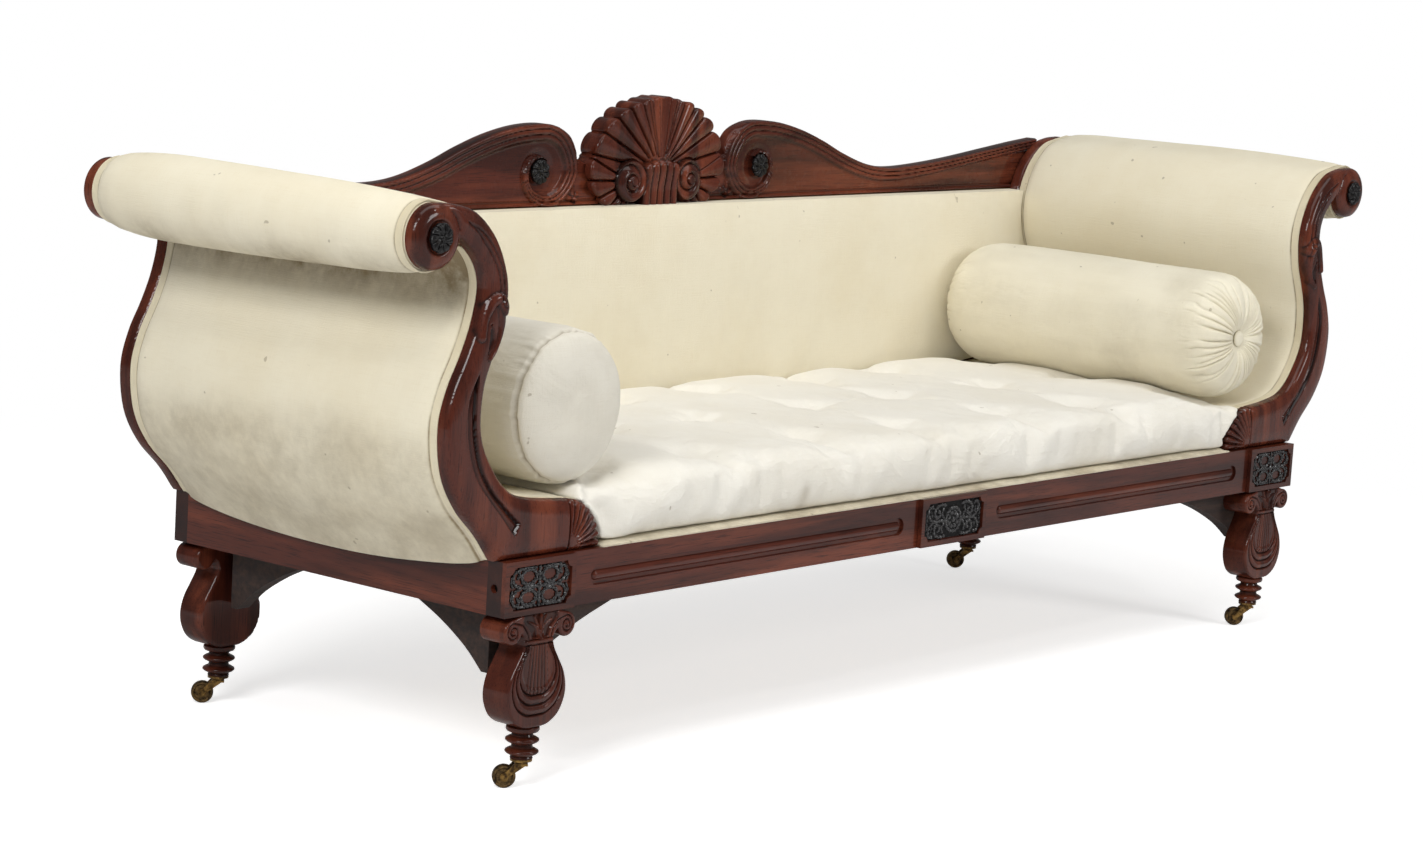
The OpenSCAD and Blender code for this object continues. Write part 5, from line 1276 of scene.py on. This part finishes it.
# The outside of the back: one plain cloth, tacked round the edge of the frame.
MEMBER, POST_X, END_POST_X, CLOTH_THICK = 0.060, 0.560, 0.9615, 0.0012
BACK_EDGE = [(0.550, 0.000), (0.630, 0.095), (0.720, 0.197), (0.765, 0.323), (0.800, 0.484),
             (0.785, 0.610), (0.735, 0.718), (0.685, 0.829), (0.665, 0.950), (0.670, 1.000)]
low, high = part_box("back_cloth")
rise = np.linspace(low[2], high[2], 34)
edge_shares = smooth_line(BACK_EDGE, 5)
half_width = np.interp(rise, low[2] + edge_shares[:, 1] * (high[2] - low[2]),
                       FOOT_TIP + edge_shares[:, 0] * REACH)
u, v, x, z = across_back(half_width, rise, 181)
wide = np.abs(x)
into_bay = np.min([wide - MEMBER / 2, np.abs(wide - POST_X) - MEMBER / 2, END_POST_X - wide,
                   z - low[2] - MEMBER, high[2] - MEMBER - z], axis=0)
hollow = soft(into_bay, 0, 0.09) * (0.0022 + 0.0004 * rumple(x, z, 0.09, 71))
outer = np.stack([x, high[1] - hollow, z], -1)
piece = stuffed("back_outside_cloth", "back_cloth", outer, outer - (0, CLOTH_THICK, 0),
                cover_cotton, 0.12 + 0.15 * rumple(x, z, 0.2, 72), None)


# ---- Squab
# A loose mattress cushion of whiter cotton, stuffed with hair. Thread ties pull it in at three
# rows of points, it bulges softly between them, and its ends lap over the feet of the arms.
TIE_COLUMNS, TIE_ROWS, TIE_DEPTH, TIE_SPREAD, TIE_WANDER = 7, 3, 0.0075, 0.054, 0.012
SQUAB_STEP, SWELL_STEPS, SWELL_LIMIT = 0.0085, 16, 0.022
DECK_PLAY, BOLSTER_PLAY, SQUAB_BULGE = 0.0003, 0.0012, 0.006
SQUAB_RINGS = [(0.0, 0.030), (0.0, 0.008), (0.15, 0.002), (0.4, 0.0), (0.65, 0.001), (0.80, 0.006),
               (0.92, 0.018), (0.985, 0.040), (1.0, 0.075)]
squab_cotton = cotton("squab_cotton", rgb(245, 241, 230), rgb(233, 226, 209), 0.4, 0.0016)
low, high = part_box("squab")
squab_front, squab_back, squab_end, squab_top = low[1], high[1], high[0], high[2]
bolster_low, bolster_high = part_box("bolster_right")
BOLSTER_X, BOLSTER_Z = ((bolster_low[i] + bolster_high[i]) / 2 for i in (0, 2))
BOLSTER_RADIUS = (bolster_high[2] - bolster_low[2]) / 2
BOLSTER_FRONT, BOLSTER_BACK = bolster_low[1], bolster_high[1]


def squab_reach(z):
    """Half the squab's length at a height: it stands off the fans and laps over them."""
    lower = FAN_X - np.sqrt(np.clip(FAN_RADIUS ** 2 - (z - FAN_Z) ** 2, 0, None)) - 0.002
    return np.where(z < FAN_Z + FAN_RADIUS - 0.002, np.minimum(lower, squab_end), squab_end)


def tied(x, y):
    """How deep the ties pull the squab in at a place, from 0 to 1."""
    depth = squab_back - squab_front
    pulls = []
    for c in range(TIE_COLUMNS):
        for r in range(TIE_ROWS):
            tie_x = FAN_X * ((2 * c + 1) / TIE_COLUMNS - 1 + TIE_WANDER * (-1) ** (c + r))
            tie_y = depth * (r + 0.5) / TIE_ROWS
            pulls.append(bell(np.hypot(x - tie_x, y - squab_front - tie_y) / TIE_SPREAD))
    return np.max(pulls, axis=0)


def squab_blank():
    """The cushion as cut: a long box with rounded edges, as rings of places round its middle."""
    rings = []
    for share, draw in SQUAB_RINGS:
        z = DECK_TOP + 0.0004 + share * (squab_top - DECK_TOP - 0.004)
        reach = float(squab_reach(np.float64(z))) - draw
        front, back = squab_front + draw, squab_back - draw
        side_x, side_y = np.linspace(-reach, reach, 160), np.linspace(front, back, 58)
        rings.append([(a, front, z) for a in side_x[:-1]] + [(reach, b, z) for b in side_y[:-1]]
                     + [(a, back, z) for a in side_x[:0:-1]]
                     + [(-reach, b, z) for b in side_y[:0:-1]])
    return rings


def loft(rings):
    """A closed mesh through rings of the same length, with a fan of faces at each end."""
    count, last = len(rings[0]), len(rings) - 1
    points = [p for ring in rings for p in ring]
    pairs = list(ring_pairs(list(range(count))))
    faces = [(k * count + i, k * count + j, (k + 1) * count + j, (k + 1) * count + i)
             for k in range(last) for i, j in pairs]
    for k in (0, last):
        faces += [(k * count + i, k * count + j, len(points)) for i, j in pairs]
        points.append(tuple(np.array(rings[k]).mean(0)))
    return points, faces


def settle(p):
    """Keeps the squab on its deck, off the fans and the back, and under the bolsters."""
    z = np.clip(p[:, 2], DECK_TOP + DECK_PLAY, squab_top + SQUAB_BULGE)
    reach = squab_reach(z)
    x = np.clip(p[:, 0], -reach, reach)
    y = np.clip(p[:, 1], squab_front - SQUAB_BULGE, squab_back + 0.0015)
    end_round = np.minimum(y - BOLSTER_FRONT + 0.01, BOLSTER_BACK + 0.01 - y)
    off = np.abs(np.abs(x) - BOLSTER_X)
    under = BOLSTER_Z - np.sqrt(np.clip((BOLSTER_RADIUS + BOLSTER_PLAY) ** 2 - off ** 2, 0, None))
    under = under + 0.03 * np.clip(1 - end_round / 0.035, 0, 1) ** 2
    pressed = np.minimum(z, np.maximum(under, DECK_TOP + 0.02))
    z = np.where((end_round > 0) & (off < BOLSTER_RADIUS), pressed, z)
    return np.stack([x, y, z], 1)


def applied(thing):
    """The mesh of an object with its modifiers applied, and the modifiers removed."""
    mesh = baked(thing)
    thing.modifiers.clear()
    thing.data = mesh
    return mesh


def move_points(mesh, places):
    mesh.vertices.foreach_set("co", places.astype(np.float32).ravel())


def swollen(squab, start, tie, crown):
    """The squab's places once its stuffing has swelled its cover, held at the ties and beneath."""
    move_points(squab.data, start)
    pinned = squab.vertex_groups.new(name="ties")
    hold = np.maximum(np.clip((tie - 0.90) / 0.06, 0, 1) * crown, start[:, 2] < DECK_TOP + 0.004)
    for level in (0.25, 0.5, 0.75, 1.0):
        chosen = np.nonzero((hold > level - 0.25) & (hold <= level))[0]
        pinned.add(chosen.tolist(), level, "REPLACE")
    cloth = squab.modifiers.new("swell", "CLOTH")
    for setting, value in (
            ("quality", 5), ("use_pressure", True), ("uniform_pressure_force", 3.0),
            ("shrink_min", -0.035), ("tension_stiffness", 18), ("compression_stiffness", 18),
            ("shear_stiffness", 8), ("bending_stiffness", 0.08), ("vertex_group_mass", "ties")):
        setattr(cloth.settings, setting, value)
    cloth.settings.effector_weights.gravity = 0
    cloth.collision_settings.use_collision = False
    cloth.point_cache.frame_start, cloth.point_cache.frame_end = 1, SWELL_STEPS
    for step in range(1, SWELL_STEPS + 1):
        bpy.context.scene.frame_set(step)
    move = read(applied(squab).vertices, "co", each=3) - start
    bpy.context.scene.frame_set(1)
    squab.vertex_groups.clear()
    size = np.maximum(np.linalg.norm(move, axis=1), 1e-6)
    return start + move * np.minimum(1, SWELL_LIMIT / size)[:, None]


points, faces = loft(squab_blank())
blank = bpy.data.meshes.new("squab")
blank.from_pydata(points, [], faces)
outward(blank)
squab = linked("squab_cushion", blank)
remesh = squab.modifiers.new("even", "REMESH")
remesh.mode, remesh.voxel_size = "VOXEL", SQUAB_STEP
places = read(applied(squab).vertices, "co", each=3)
x, y, z = places.T
crown = soft(z, DECK_TOP + 0.05, squab_top - 0.008)
tie = tied(x, y)
wander = rumple(x, y, 0.13, 81) + 0.5 * rumple(x, y, 0.05, 82)
places[:, 2] += crown * (0.004 * (1 - tie) - TIE_DEPTH * tie + 0.003 * wander)
places = swollen(squab, places, tie, crown)
move_points(squab.data, settle(places))
smooth = squab.modifiers.new("ease", "SMOOTH")
smooth.factor, smooth.iterations = 0.5, 3
fine = squab.modifiers.new("fine", "SUBSURF")
fine.levels = fine.render_levels = 1
mesh = applied(squab)
places = settle(read(mesh.vertices, "co", each=3))
move_points(mesh, places)
x, y, z = places.T
# A stain at the front; the cushion is also darker in the tie dimples, along the bottom where it
# sits on the deck, and in faint clouds.
squab_darkening = 0.30 * bell(np.hypot((x + 0.355) / 0.010, (z - 0.345) / 0.020)) * (y < squab_front + 0.03)
squab_darkening += 0.10 * np.clip(tied(x, y) - 0.75, 0, 1) / 0.25 * (z > DECK_TOP + 0.05)
squab_darkening += 0.14 * (1 - soft(z, DECK_TOP, DECK_TOP + 0.025))
squab_darkening += 0.05 * np.clip(rumple(x, y, 0.2, 83), 0, 1)
mark(mesh, "soil_and_shade", np.clip(squab_darkening, 0, 1))
mesh.name = "squab_cushion"
bpy.data.objects.remove(squab)
lay_weave(mesh)
piece = finished("squab_cushion", mesh, squab_cotton, "squab", 70)
stand_in(piece, "squab")


# ---- Bolsters
# Two loose rolls. The left one has flat sewn ends, whose seam puckers the barrel beside it. The
# right one is gathered at its ends in fine pleats under a covered button.
SEAM_FROM_END, SEAM_DEPTH, PUCKER_DEPTH = 0.021, 0.0036, 0.0055
PLEATS, PLEAT_DEPTH = 38, 0.0062
FLAT_END = [(0.002, -0.005), (0.05, -0.002), (0.080, 0.004), (0.096, 0.011), (0.1030, 0.020),
            (0.1055, 0.030), (BOLSTER_RADIUS, 0.07)]
ROUND_END = [(0.006, 0.009), (0.014, 0.004), (0.035, -0.005), (0.062, -0.003), (0.085, 0.008),
             (0.099, 0.025), (0.1060, 0.046), (BOLSTER_RADIUS, 0.085)]


def both_ends(end):
    """The section of a roll from end to end, from the radius and depth of one end's places."""
    half = [(r, BOLSTER_FRONT + y) for r, y in end]
    half.append((BOLSTER_RADIUS, (BOLSTER_FRONT + BOLSTER_BACK) / 2))
    return half + [(r, BOLSTER_FRONT + BOLSTER_BACK - y) for r, y in half[-2::-1]]


def meridian(points, t):
    """Radius and place along the roll for each t, along a smooth line through points."""
    line = even_line(smooth_line(points, 24), 0.0008)
    at = np.linspace(0, 1, len(line))
    return np.interp(t, at, line[:, 0]), np.interp(t, at, line[:, 1])


def on_roll(line, turn, t):
    """Radius, place along the roll, distance to the nearer end, and way round the roll."""
    radius, y = meridian(line, t)
    return radius, y, np.minimum(y - BOLSTER_FRONT, BOLSTER_BACK - y), turn * BOLSTER_RADIUS


def bolster(name, node, side, material, shape, soil_and_shade, around, along):
    """A roll along Y. shape(turn, t) gives its radius and place along Y, for t from 0 to 1."""
    turn, t = np.meshgrid(np.linspace(0, 2 * math.pi, around, endpoint=False),
                          np.linspace(0, 1, along), indexing="ij")
    radius, y = shape(turn, t)
    points = np.stack([side * BOLSTER_X + radius * np.cos(turn), y,
                       BOLSTER_Z + radius * np.sin(turn)], -1)
    at = np.arange(around * along).reshape(around, along)
    after = np.roll(at, -1, 0)
    quads = np.stack([at[:, :-1], after[:, :-1], after[:, 1:], at[:, 1:]], -1).reshape(-1, 4)
    ends = [(side * BOLSTER_X, float(y[:, k].mean()), BOLSTER_Z) for k in (0, -1)]
    caps = [[int(a), int(b), around * along + e] for e, k in ((0, 0), (1, -1))
            for a, b in zip(at[:, k], after[:, k])]
    piece = sewn(name, points.reshape(-1, 3).tolist() + ends, quads.tolist() + caps, material, node,
                 None, np.append(np.clip(soil_and_shade(turn, t, radius), 0, 1), [0, 0]), 0.85)
    stand_in(piece, node)


flat_line, round_line = both_ends(FLAT_END), both_ends(ROUND_END)
shares = np.linspace(0, 0.5, 2001)
seam_share = shares[np.argmax(meridian(flat_line, shares)[1] > BOLSTER_FRONT + SEAM_FROM_END)]


def flat_ended(turn, t):
    radius, y, from_end, wide = on_roll(flat_line, turn, t)
    pucker = 0.6 * rumple(wide, y * 0.1, 0.0075, 91) + 0.5 * rumple(wide, y * 0.1, 0.017, 92)
    length = 0.018 + 0.024 * np.clip(rumple(wide, wide * 0, 0.03, 93), 0, 1)
    past = from_end - SEAM_FROM_END
    rib = np.exp(-np.clip(past, 0, None) / length) * soft(past, -0.006, 0.004)
    radius = radius + PUCKER_DEPTH * pucker * rib - SEAM_DEPTH * bell(past / 0.0028)
    radius = radius + 0.0016 * rumple(wide, y, 0.12, 94) * soft(from_end, 0.01, 0.08)
    dent = 0.0020 * rumple(np.cos(turn) * radius + 1, np.sin(turn) * radius + 1, 0.05, 95)
    return radius, y + np.where(past > 0, 0, dent * soft(radius, 0.0, 0.03))


def gathered(turn, t):
    radius, y, from_end, wide = on_roll(round_line, turn, t)
    shift = 1.1 * rumple(wide, wide * 0, 0.07, 96) + 0.4 * rumple(wide, wide * 0, 0.02, 103)
    count = turn / (2 * math.pi) * PLEATS + shift
    phase = (count + 0.3 * rumple(wide, from_end * 1.5, 0.035, 97)) % 1
    fold = 1 - np.abs(2 * phase - 1) ** 2.8
    number = np.floor(count).astype(int) % PLEATS
    front = y < (BOLSTER_FRONT + BOLSTER_BACK) / 2
    chance, longer = (np.random.RandomState(seed).uniform(0, 1, 40)[number] for seed in (98, 99))
    reach = (0.028 + 0.050 * longer ** 2) * np.where(front, 1, 0.7)
    amount = (1 - soft(from_end, reach * 0.2, reach)) * (0.35 + 0.75 * chance)
    amount = amount * np.where(front, 1, 0.55)
    depth = PLEAT_DEPTH * amount * soft(radius, 0.008, 0.05) * (fold - 0.62)
    tilt = soft(from_end, 0.0, 0.035)
    radius = radius + depth * (0.25 + 0.75 * tilt)
    y = y - np.where(front, 1, -1) * depth * (1 - tilt) * 1.1
    return radius + 0.0018 * rumple(wide, y, 0.13, 100) * soft(from_end, 0.02, 0.09), y


def flat_soil_and_shade(turn, t, radius):
    """Faint clouds, and painted shade along the sunk seams."""
    cloud = rumple(radius * np.cos(turn) + t, radius * np.sin(turn) + 1, 0.06, 101)
    return 0.06 + 0.06 * cloud + 0.8 * bell((np.minimum(t, 1 - t) - seam_share) / 0.0020)


def gathered_soil_and_shade(turn, t, radius):
    """Faint clouds, a worn stretch and painted shade down in the pleats, darker in the deeper
    folds.
    """
    flat = meridian(round_line, t)[0]
    pleat_shade = np.clip((flat - radius) * 130, 0, 0.5) * soft(flat, 0.012, 0.03)
    return (0.08 * soft(np.cos(turn - math.radians(205)), 0.55, 0.75)
            + 0.05 * rumple(turn * 3, t * 6, 0.5, 102) + 0.02 + pleat_shade)


left_cotton = cotton("left_bolster_cotton", rgb(238, 233, 219), rgb(224, 216, 197), 0.35, 0.0010)
right_cotton = cotton("right_bolster_cotton", rgb(243, 236, 214), rgb(230, 220, 190), 0.25, 0.0007)
bolster("left_roll", "bolster_left", -1, left_cotton, flat_ended, flat_soil_and_shade, 560, 280)
bolster("right_roll", "bolster_right", 1, right_cotton, gathered, gathered_soil_and_shade, 760, 200)

# The covered buttons: a small domed disc, with its cloth drawn tight
BUTTON_RADIUS, BUTTON_RISE, BUTTON_SUNK = 0.013, 0.0048, 0.0022
turn = np.linspace(0, 2 * math.pi, 48, endpoint=False)
for end, y, way in (("front", BOLSTER_FRONT, -1), ("back", BOLSTER_BACK, 1)):
    rings = []
    for angle in np.linspace(0, math.pi, 14)[1:-1]:
        far = BUTTON_RADIUS * np.sin(angle) ** 0.8 * (1 + 0.02 * np.sin(turn * 11) * np.sin(angle))
        lift = y + way * (BUTTON_RISE * np.cos(angle) + 0.0003 - BUTTON_SUNK)
        rings.append(np.stack([BOLSTER_X + far * np.cos(turn), 0 * turn + lift,
                               BOLSTER_Z + far * np.sin(turn)], 1).tolist())
    piece = sewn(f"bolster_button_{end}", *loft(rings), right_cotton, "bolster_right", fill=0.9)
    stand_in(piece, "bolster_buttons")


# ---- Plaques
# Carved leaf scrolls, stained black and pinned in the sunk fields of the rail's blocks. The two at
# the corners are pierced: four oval rings round a bead. The middle one has a closed ground.
PLAQUE_ROD, PLAQUE_RISE, PLAQUE_DEEP, LEAF_BEAT = 0.0033, 0.0034, 0.0036, 900
BEAD, END_BEAD, END_BEAD_X, BEAD_RISE = 0.0052, 0.0040, 0.0385, 0.0042
GROUND, GROUND_CORNER, CORNER_CUT = (0.0590, 0.0275), (0.0600, 0.0285), 0.0080


def ebony(name, ground=None):
    """Black-stained wood under an old polished coat, worn brown on a few edges, and dull down on
    its ground, where its darker colour is painted shade.
    """
    black = Finish(name)
    cloud = black.noise(black.place(), 220, 3, 0.6)
    worn = black.noise(black.place(), 90, 3, 0.6).between(0.56, 0.72)
    tops_polished_ground_shaded = 0.45
    if ground:
        tops_polished_ground_shaded = 1 - black.part(black.place(), "Y").between(ground - 0.0026, ground - 0.0004)
    # Painted shade: the ground is near black, the polished tops lighter.
    top = black.mix(worn * 0.4, rgb(22, 20, 21), rgb(52, 40, 33))
    return black.surface({
        "Base Color": black.mix(tops_polished_ground_shaded, rgb(6, 5, 5), top),
        "Roughness": cloud * 0.25 + 0.30, "Specular IOR Level": 0.08,
        "Coat Weight": tops_polished_ground_shaded * 0.9 if ground else 0.42, "Coat Roughness": 0.06,
        "Normal": black.bump(cloud, 0.0003)})


def strokes(x, z, lines):
    """Rounded rods along lines of (points, half width): distance to their edge, and their rise."""
    edge, rise = np.full(x.shape, NOWHERE), np.zeros(x.shape)
    for points, half in lines:
        far, run = line_distance(x, z, points)
        leaf = np.sin(run * np.hypot(*np.diff(points, axis=0).T).sum() * LEAF_BEAT)
        width = half * (0.84 + 0.20 * leaf)
        edge = np.minimum(edge, far - width)
        rise = np.maximum(rise, PLAQUE_RISE * dome(far / width)
                          * (half / PLAQUE_ROD) ** 0.5 * (0.84 + 0.16 * leaf))
    return edge, rise


def oval(centre, wide, tall):
    turn = np.linspace(0, 2 * math.pi, 33)
    return np.stack([centre[0] + wide * np.cos(turn), centre[1] + tall * np.sin(turn)], 1)


def drawn(strokes_listed):
    """Strokes from their half widths, how finely they bend, and the points they pass through."""
    return [(smooth_line(points, steps), half) for half, steps, *points in strokes_listed]


# One quarter of a corner's plaque: a ring, the scroll and leaf at its end, and its joining bars
CORNER_LINES = [(oval((0.0205, 0.0140), 0.0146, 0.0102), PLAQUE_ROD)] + drawn([
    (0.0030, 5, (0.0385, 0.001), (0.0450, 0.0035), (0.0515, 0.0110), (0.0500, 0.0205),
     (0.0430, 0.0235), (0.0390, 0.0185), (0.0425, 0.0135)),
    (0.0021, 4, (0.0520, 0.0030), (0.0555, 0.0080), (0.0550, 0.0150)),
    (0.0020, 5, (0.0060, 0.0258), (0.0200, 0.0268), (0.0360, 0.0262)),
    (0.0026, 5, (0.0, 0.0), (0.0200, 0.0008), (0.0385, 0.0)),
    (0.0026, 5, (0.0, 0.002), (0.001, 0.014), (0.0, 0.0262)),
    (0.0026, 4, (0.0310, 0.0262), (0.0375, 0.0245), (0.0400, 0.0262))])
# One quarter of the middle plaque: a round wreath, a C-scroll and the leaf beyond it
MIDDLE_LINES = [(oval((0, 0), 0.0185, 0.0185), 0.0036)] + drawn([
    (0.0035, 5, (0.0215, 0.0235), (0.0310, 0.0250), (0.0425, 0.0225), (0.0480, 0.0140),
     (0.0445, 0.0065), (0.0375, 0.0060), (0.0350, 0.0115), (0.0385, 0.0155)),
    (0.0032, 5, (0.0500, 0.0), (0.0570, 0.0035), (0.0630, 0.0110), (0.0630, 0.0200),
     (0.0570, 0.0240), (0.0525, 0.0205)),
    (0.0030, 5, (0.0200, 0.0), (0.0500, 0.0)),
    (0.0028, 5, (0.0240, 0.0040), (0.0295, 0.0105), (0.0270, 0.0180)),
    (0.0022, 5, (0.0545, 0.0085), (0.0560, 0.0150)),
    (0.0018, 5, (0.0670, 0.0020), (0.0680, 0.0120))])


def leafage(x, z):
    """The chip-carved leaves that cover every rod, from -1 to 1."""
    curl = np.sin(x * 1350 + 2.2 * np.sin(z * 620)) * np.sin(z * 1500 + 2.0 * np.sin(x * 540))
    return 0.65 * curl + 0.35 * np.sin((x + z) * 2600) * np.sin((x - z) * 2300)


def carved_plaque(half, lines, closed, stretch):
    """A plaque carved from the strokes of one quarter; a closed one is longer by its stretch."""
    def shape(x, z):
        wide, tall = np.abs(x), np.abs(z)
        edge, rise = strokes(wide, tall, lines)
        out = np.hypot(wide, tall)
        for far, size in ((out, BEAD), (np.hypot(wide - END_BEAD_X * stretch, tall), END_BEAD)):
            edge = np.minimum(edge, far - size)
            rise = np.maximum(rise, BEAD_RISE * dome(far / size))
        leaves = leafage(x, z)
        rise = rise * (0.86 + 0.14 * leaves) + 0.0002 * leaves
        edge = edge - 0.0005 * leaves
        if closed:
            # Low petals fill the wreath of the closed one
            ground = np.maximum(wide - GROUND[0] * stretch, tall - GROUND[1])
            corner = np.hypot(wide - GROUND_CORNER[0] * stretch, tall - GROUND_CORNER[1])
            edge = np.minimum(edge, np.maximum(ground, CORNER_CUT - corner))
            petal = np.abs(np.sin(4 * np.arctan2(tall, wide))) ** 0.6
            petal = petal * soft(out, 0.006, 0.009) * (1 - soft(out, 0.013, 0.0155))
            rise = np.maximum(rise, 0.0002 + 0.0024 * petal + 0.0002 * leaves)
        return edge, 0.0004 + np.clip(rise, 0, PLAQUE_DEEP), 0 * x
    return carve(shape, (-half, -0.0290), (half, 0.0290), 0.0007)


corner_plaque = carved_plaque(0.0595, CORNER_LINES, False, 1.0)
middle_plaque = carved_plaque(0.0735, MIDDLE_LINES, True, 1.22)
for word, carved in (("left", corner_plaque), ("right", corner_plaque), ("centre", middle_plaque)):
    low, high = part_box(f"plaque_{word}")
    middle = ((low[0] + high[0]) / 2, (low[2] + high[2]) / 2)
    black_wood = ebony(f"ebonised_plaque_{word}", high[1])
    board(f"carved_plaque_{word}", f"plaque_{word}", carved, high[1] - 0.0001, high[1],
          black_wood, 1, middle, True, 60)


# ---- Rosettes
# Small turned discs, carved with curling leaves round a button, stained black and pegged into
# the eyes of the scrolls.
ROSETTE_RADIUS, ROSETTE_LEAVES, INNER_LEAVES, BUTTON = 0.0198, 9, 6, 0.0036


def carved_rosette(x, z):
    far, turn = np.hypot(x, z), np.arctan2(z, x)
    swirl = (turn / (2 * math.pi) * ROSETTE_LEAVES + far * 34) % 1
    leaf = np.abs(2 * swirl - 1)
    ragged = ROSETTE_RADIUS - 0.0016 * leaf ** 2
    edge = far - ragged
    ring = soft(far, 0.0075, 0.010)
    curl = np.sqrt(np.clip(1 - leaf ** 2.4, 0, 1)) * (1 - 0.45 * soft(far, 0.013, 0.020))
    height = 0.0030 + 0.0038 * ring * curl
    vein = folded(swirl * 3)
    height -= 0.0009 * ring * soft(vein, 0.6, 1.0)
    inner = folded(turn / (2 * math.pi) * INNER_LEAVES)
    height += (1 - ring) * (0.0028 * dome(inner) * soft(far, 0.002, 0.005))
    height += 0.0048 * dome(far / BUTTON)
    return edge, height - eased(edge, 0.002), 0 * x


rosette = carve(carved_rosette, (-0.0205, -0.0205), (0.0205, 0.0205), 0.00055)
black_wood = ebony("ebonised_rosettes")
for node, x, z in (("arm_rosettes", SCROLL_X, SCROLL_Z),
                   ("crest_rosettes", VOLUTE_X, crest_foot + VOLUTE_RISE)):
    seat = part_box(node)[1][1]
    for side, word in SIDES:
        board(f"{node[:-1]}_{word}", node, rosette, seat, seat, black_wood, side, (side * x, z),
              crease=50)


# ---- Turned feet
# Turned mahogany under each leg: a collar and two thin-edged rings on a waist, glued by a dowel.
def turned(name, node, profile, lie, material, body, facets=72, crease=40, hollow=None):
    """A piece turned about Z, from a profile of radius and height that starts and ends at 0, and
    laid in its place. Its hollows may be darker with grime and painted shade."""
    turn = np.linspace(0, 2 * math.pi, facets, endpoint=False)
    points, faces = loft([[(r * math.cos(a), r * math.sin(a), z) for a in turn]
                          for r, z in profile[1:-1]])
    mesh = bpy.data.meshes.new(name)
    mesh.from_pydata(points, [], faces)
    if hollow is not None:
        mark(mesh, "hollow", np.append(np.repeat(hollow[1:-1], facets), [0, 0]))
    outward(mesh)
    mesh.transform(lie)
    stand_in(finished(name, mesh, material, body, crease), node)


FOOT_LOW, FOOT_HIGH = (corner[2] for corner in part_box("turned_feet"))
foot_height = FOOT_HIGH - FOOT_LOW
FOOT_START = [(0, 0.0), (0.0145, 0.0), (0.0155, 0.0012), (0.0150, 0.0030), (0.0142, 0.0045)]
FOOT_RING = [(0.0140, -0.0062), (0.0165, -0.0048), (0.0210, -0.0026), (0.0229, -0.0008),
             (0.0231, 0.0004), (0.0225, 0.0018), (0.0195, 0.0036), (0.0150, 0.0056)]
FOOT_COLLAR = [(0.0140, -0.0115), (0.0165, -0.0098), (0.0215, -0.0078), (0.0230, -0.0052),
               (0.0226, -0.0020), (0.0205, -0.0002), (0, -0.0002)]
foot_profile = np.array(FOOT_START + [(r, middle * foot_height + z) for middle in (0.22, 0.57)
                                      for r, z in FOOT_RING]
                        + [(r, foot_height + z) for r, z in FOOT_COLLAR])
# Grime and painted shade on the narrow parts of the foot, darker the narrower it is.
foot_grime_and_shade = np.clip((0.0185 - foot_profile[:, 0]) / 0.0045, 0, 1) * 0.75
foot_wood = mahogany("foot_mahogany", "Z", 0.85, 0.25)
CORNERS = ("front_left", "front_right", "back_left", "back_right")
for corner in CORNERS:
    low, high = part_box(f"leg_{corner}")
    stand = Matrix.Translation(((low[0] + high[0]) / 2, (low[1] + high[1]) / 2, FOOT_LOW))
    turned(f"foot_{corner}", "turned_feet", foot_profile, stand, foot_wood, "frame",
           hollow=foot_grime_and_shade)


# ---- Casters
# Cast brass, brown with age: a plate screwed under the
# foot, a horn that turns on its spindle, and a wheel on a riveted axle.
WHEEL_HALF, AXLE_TURN = 0.0065, math.radians(137)
WHEEL_SIDE = [(0.0042, 0), (0.0050, 0.0014), (0.0105, 0.0016), (0.0125, 0), (0.0146, 0.0004),
              (0.0158, 0.0022), (0.0160, 0.0042)]
wheel_profile = ([(0, -WHEEL_HALF)] + [(r, z - WHEEL_HALF) for r, z in WHEEL_SIDE]
                 + [(r, WHEEL_HALF - z) for r, z in WHEEL_SIDE[::-1]] + [(0, WHEEL_HALF)])
axle = Vector((math.sin(AXLE_TURN), -math.cos(AXLE_TURN), 0)).to_track_quat("Z", "Y")
old_brass = aged_metal("old_brass", rgb(150, 118, 66), rgb(58, 42, 26), 0.9, 0.28, 0.6)
wheel_brass = aged_metal("wheel_brass", rgb(120, 96, 60), rgb(34, 26, 20), 0.85, 0.3, 0.65)
dress(old_brass, "caster_plates", "caster_screws")
for corner in CORNERS:
    dress(old_brass, f"horn_{corner}", f"axle_{corner}")
    node = f"wheel_{corner}"
    low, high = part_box(node)
    hub = Matrix.Translation((Vector(low) + Vector(high)) / 2)
    turned(f"turned_{node}", node, wheel_profile, hub @ axle.to_matrix().to_4x4(), wheel_brass,
           node, 56, 35)


# ---- Webbing
# Jute straps under the deck, woven over and under one another and tacked to the rails.
dress(cotton("jute", rgb(170, 138, 92), rgb(118, 90, 56), 0.6), "seat_webbing")
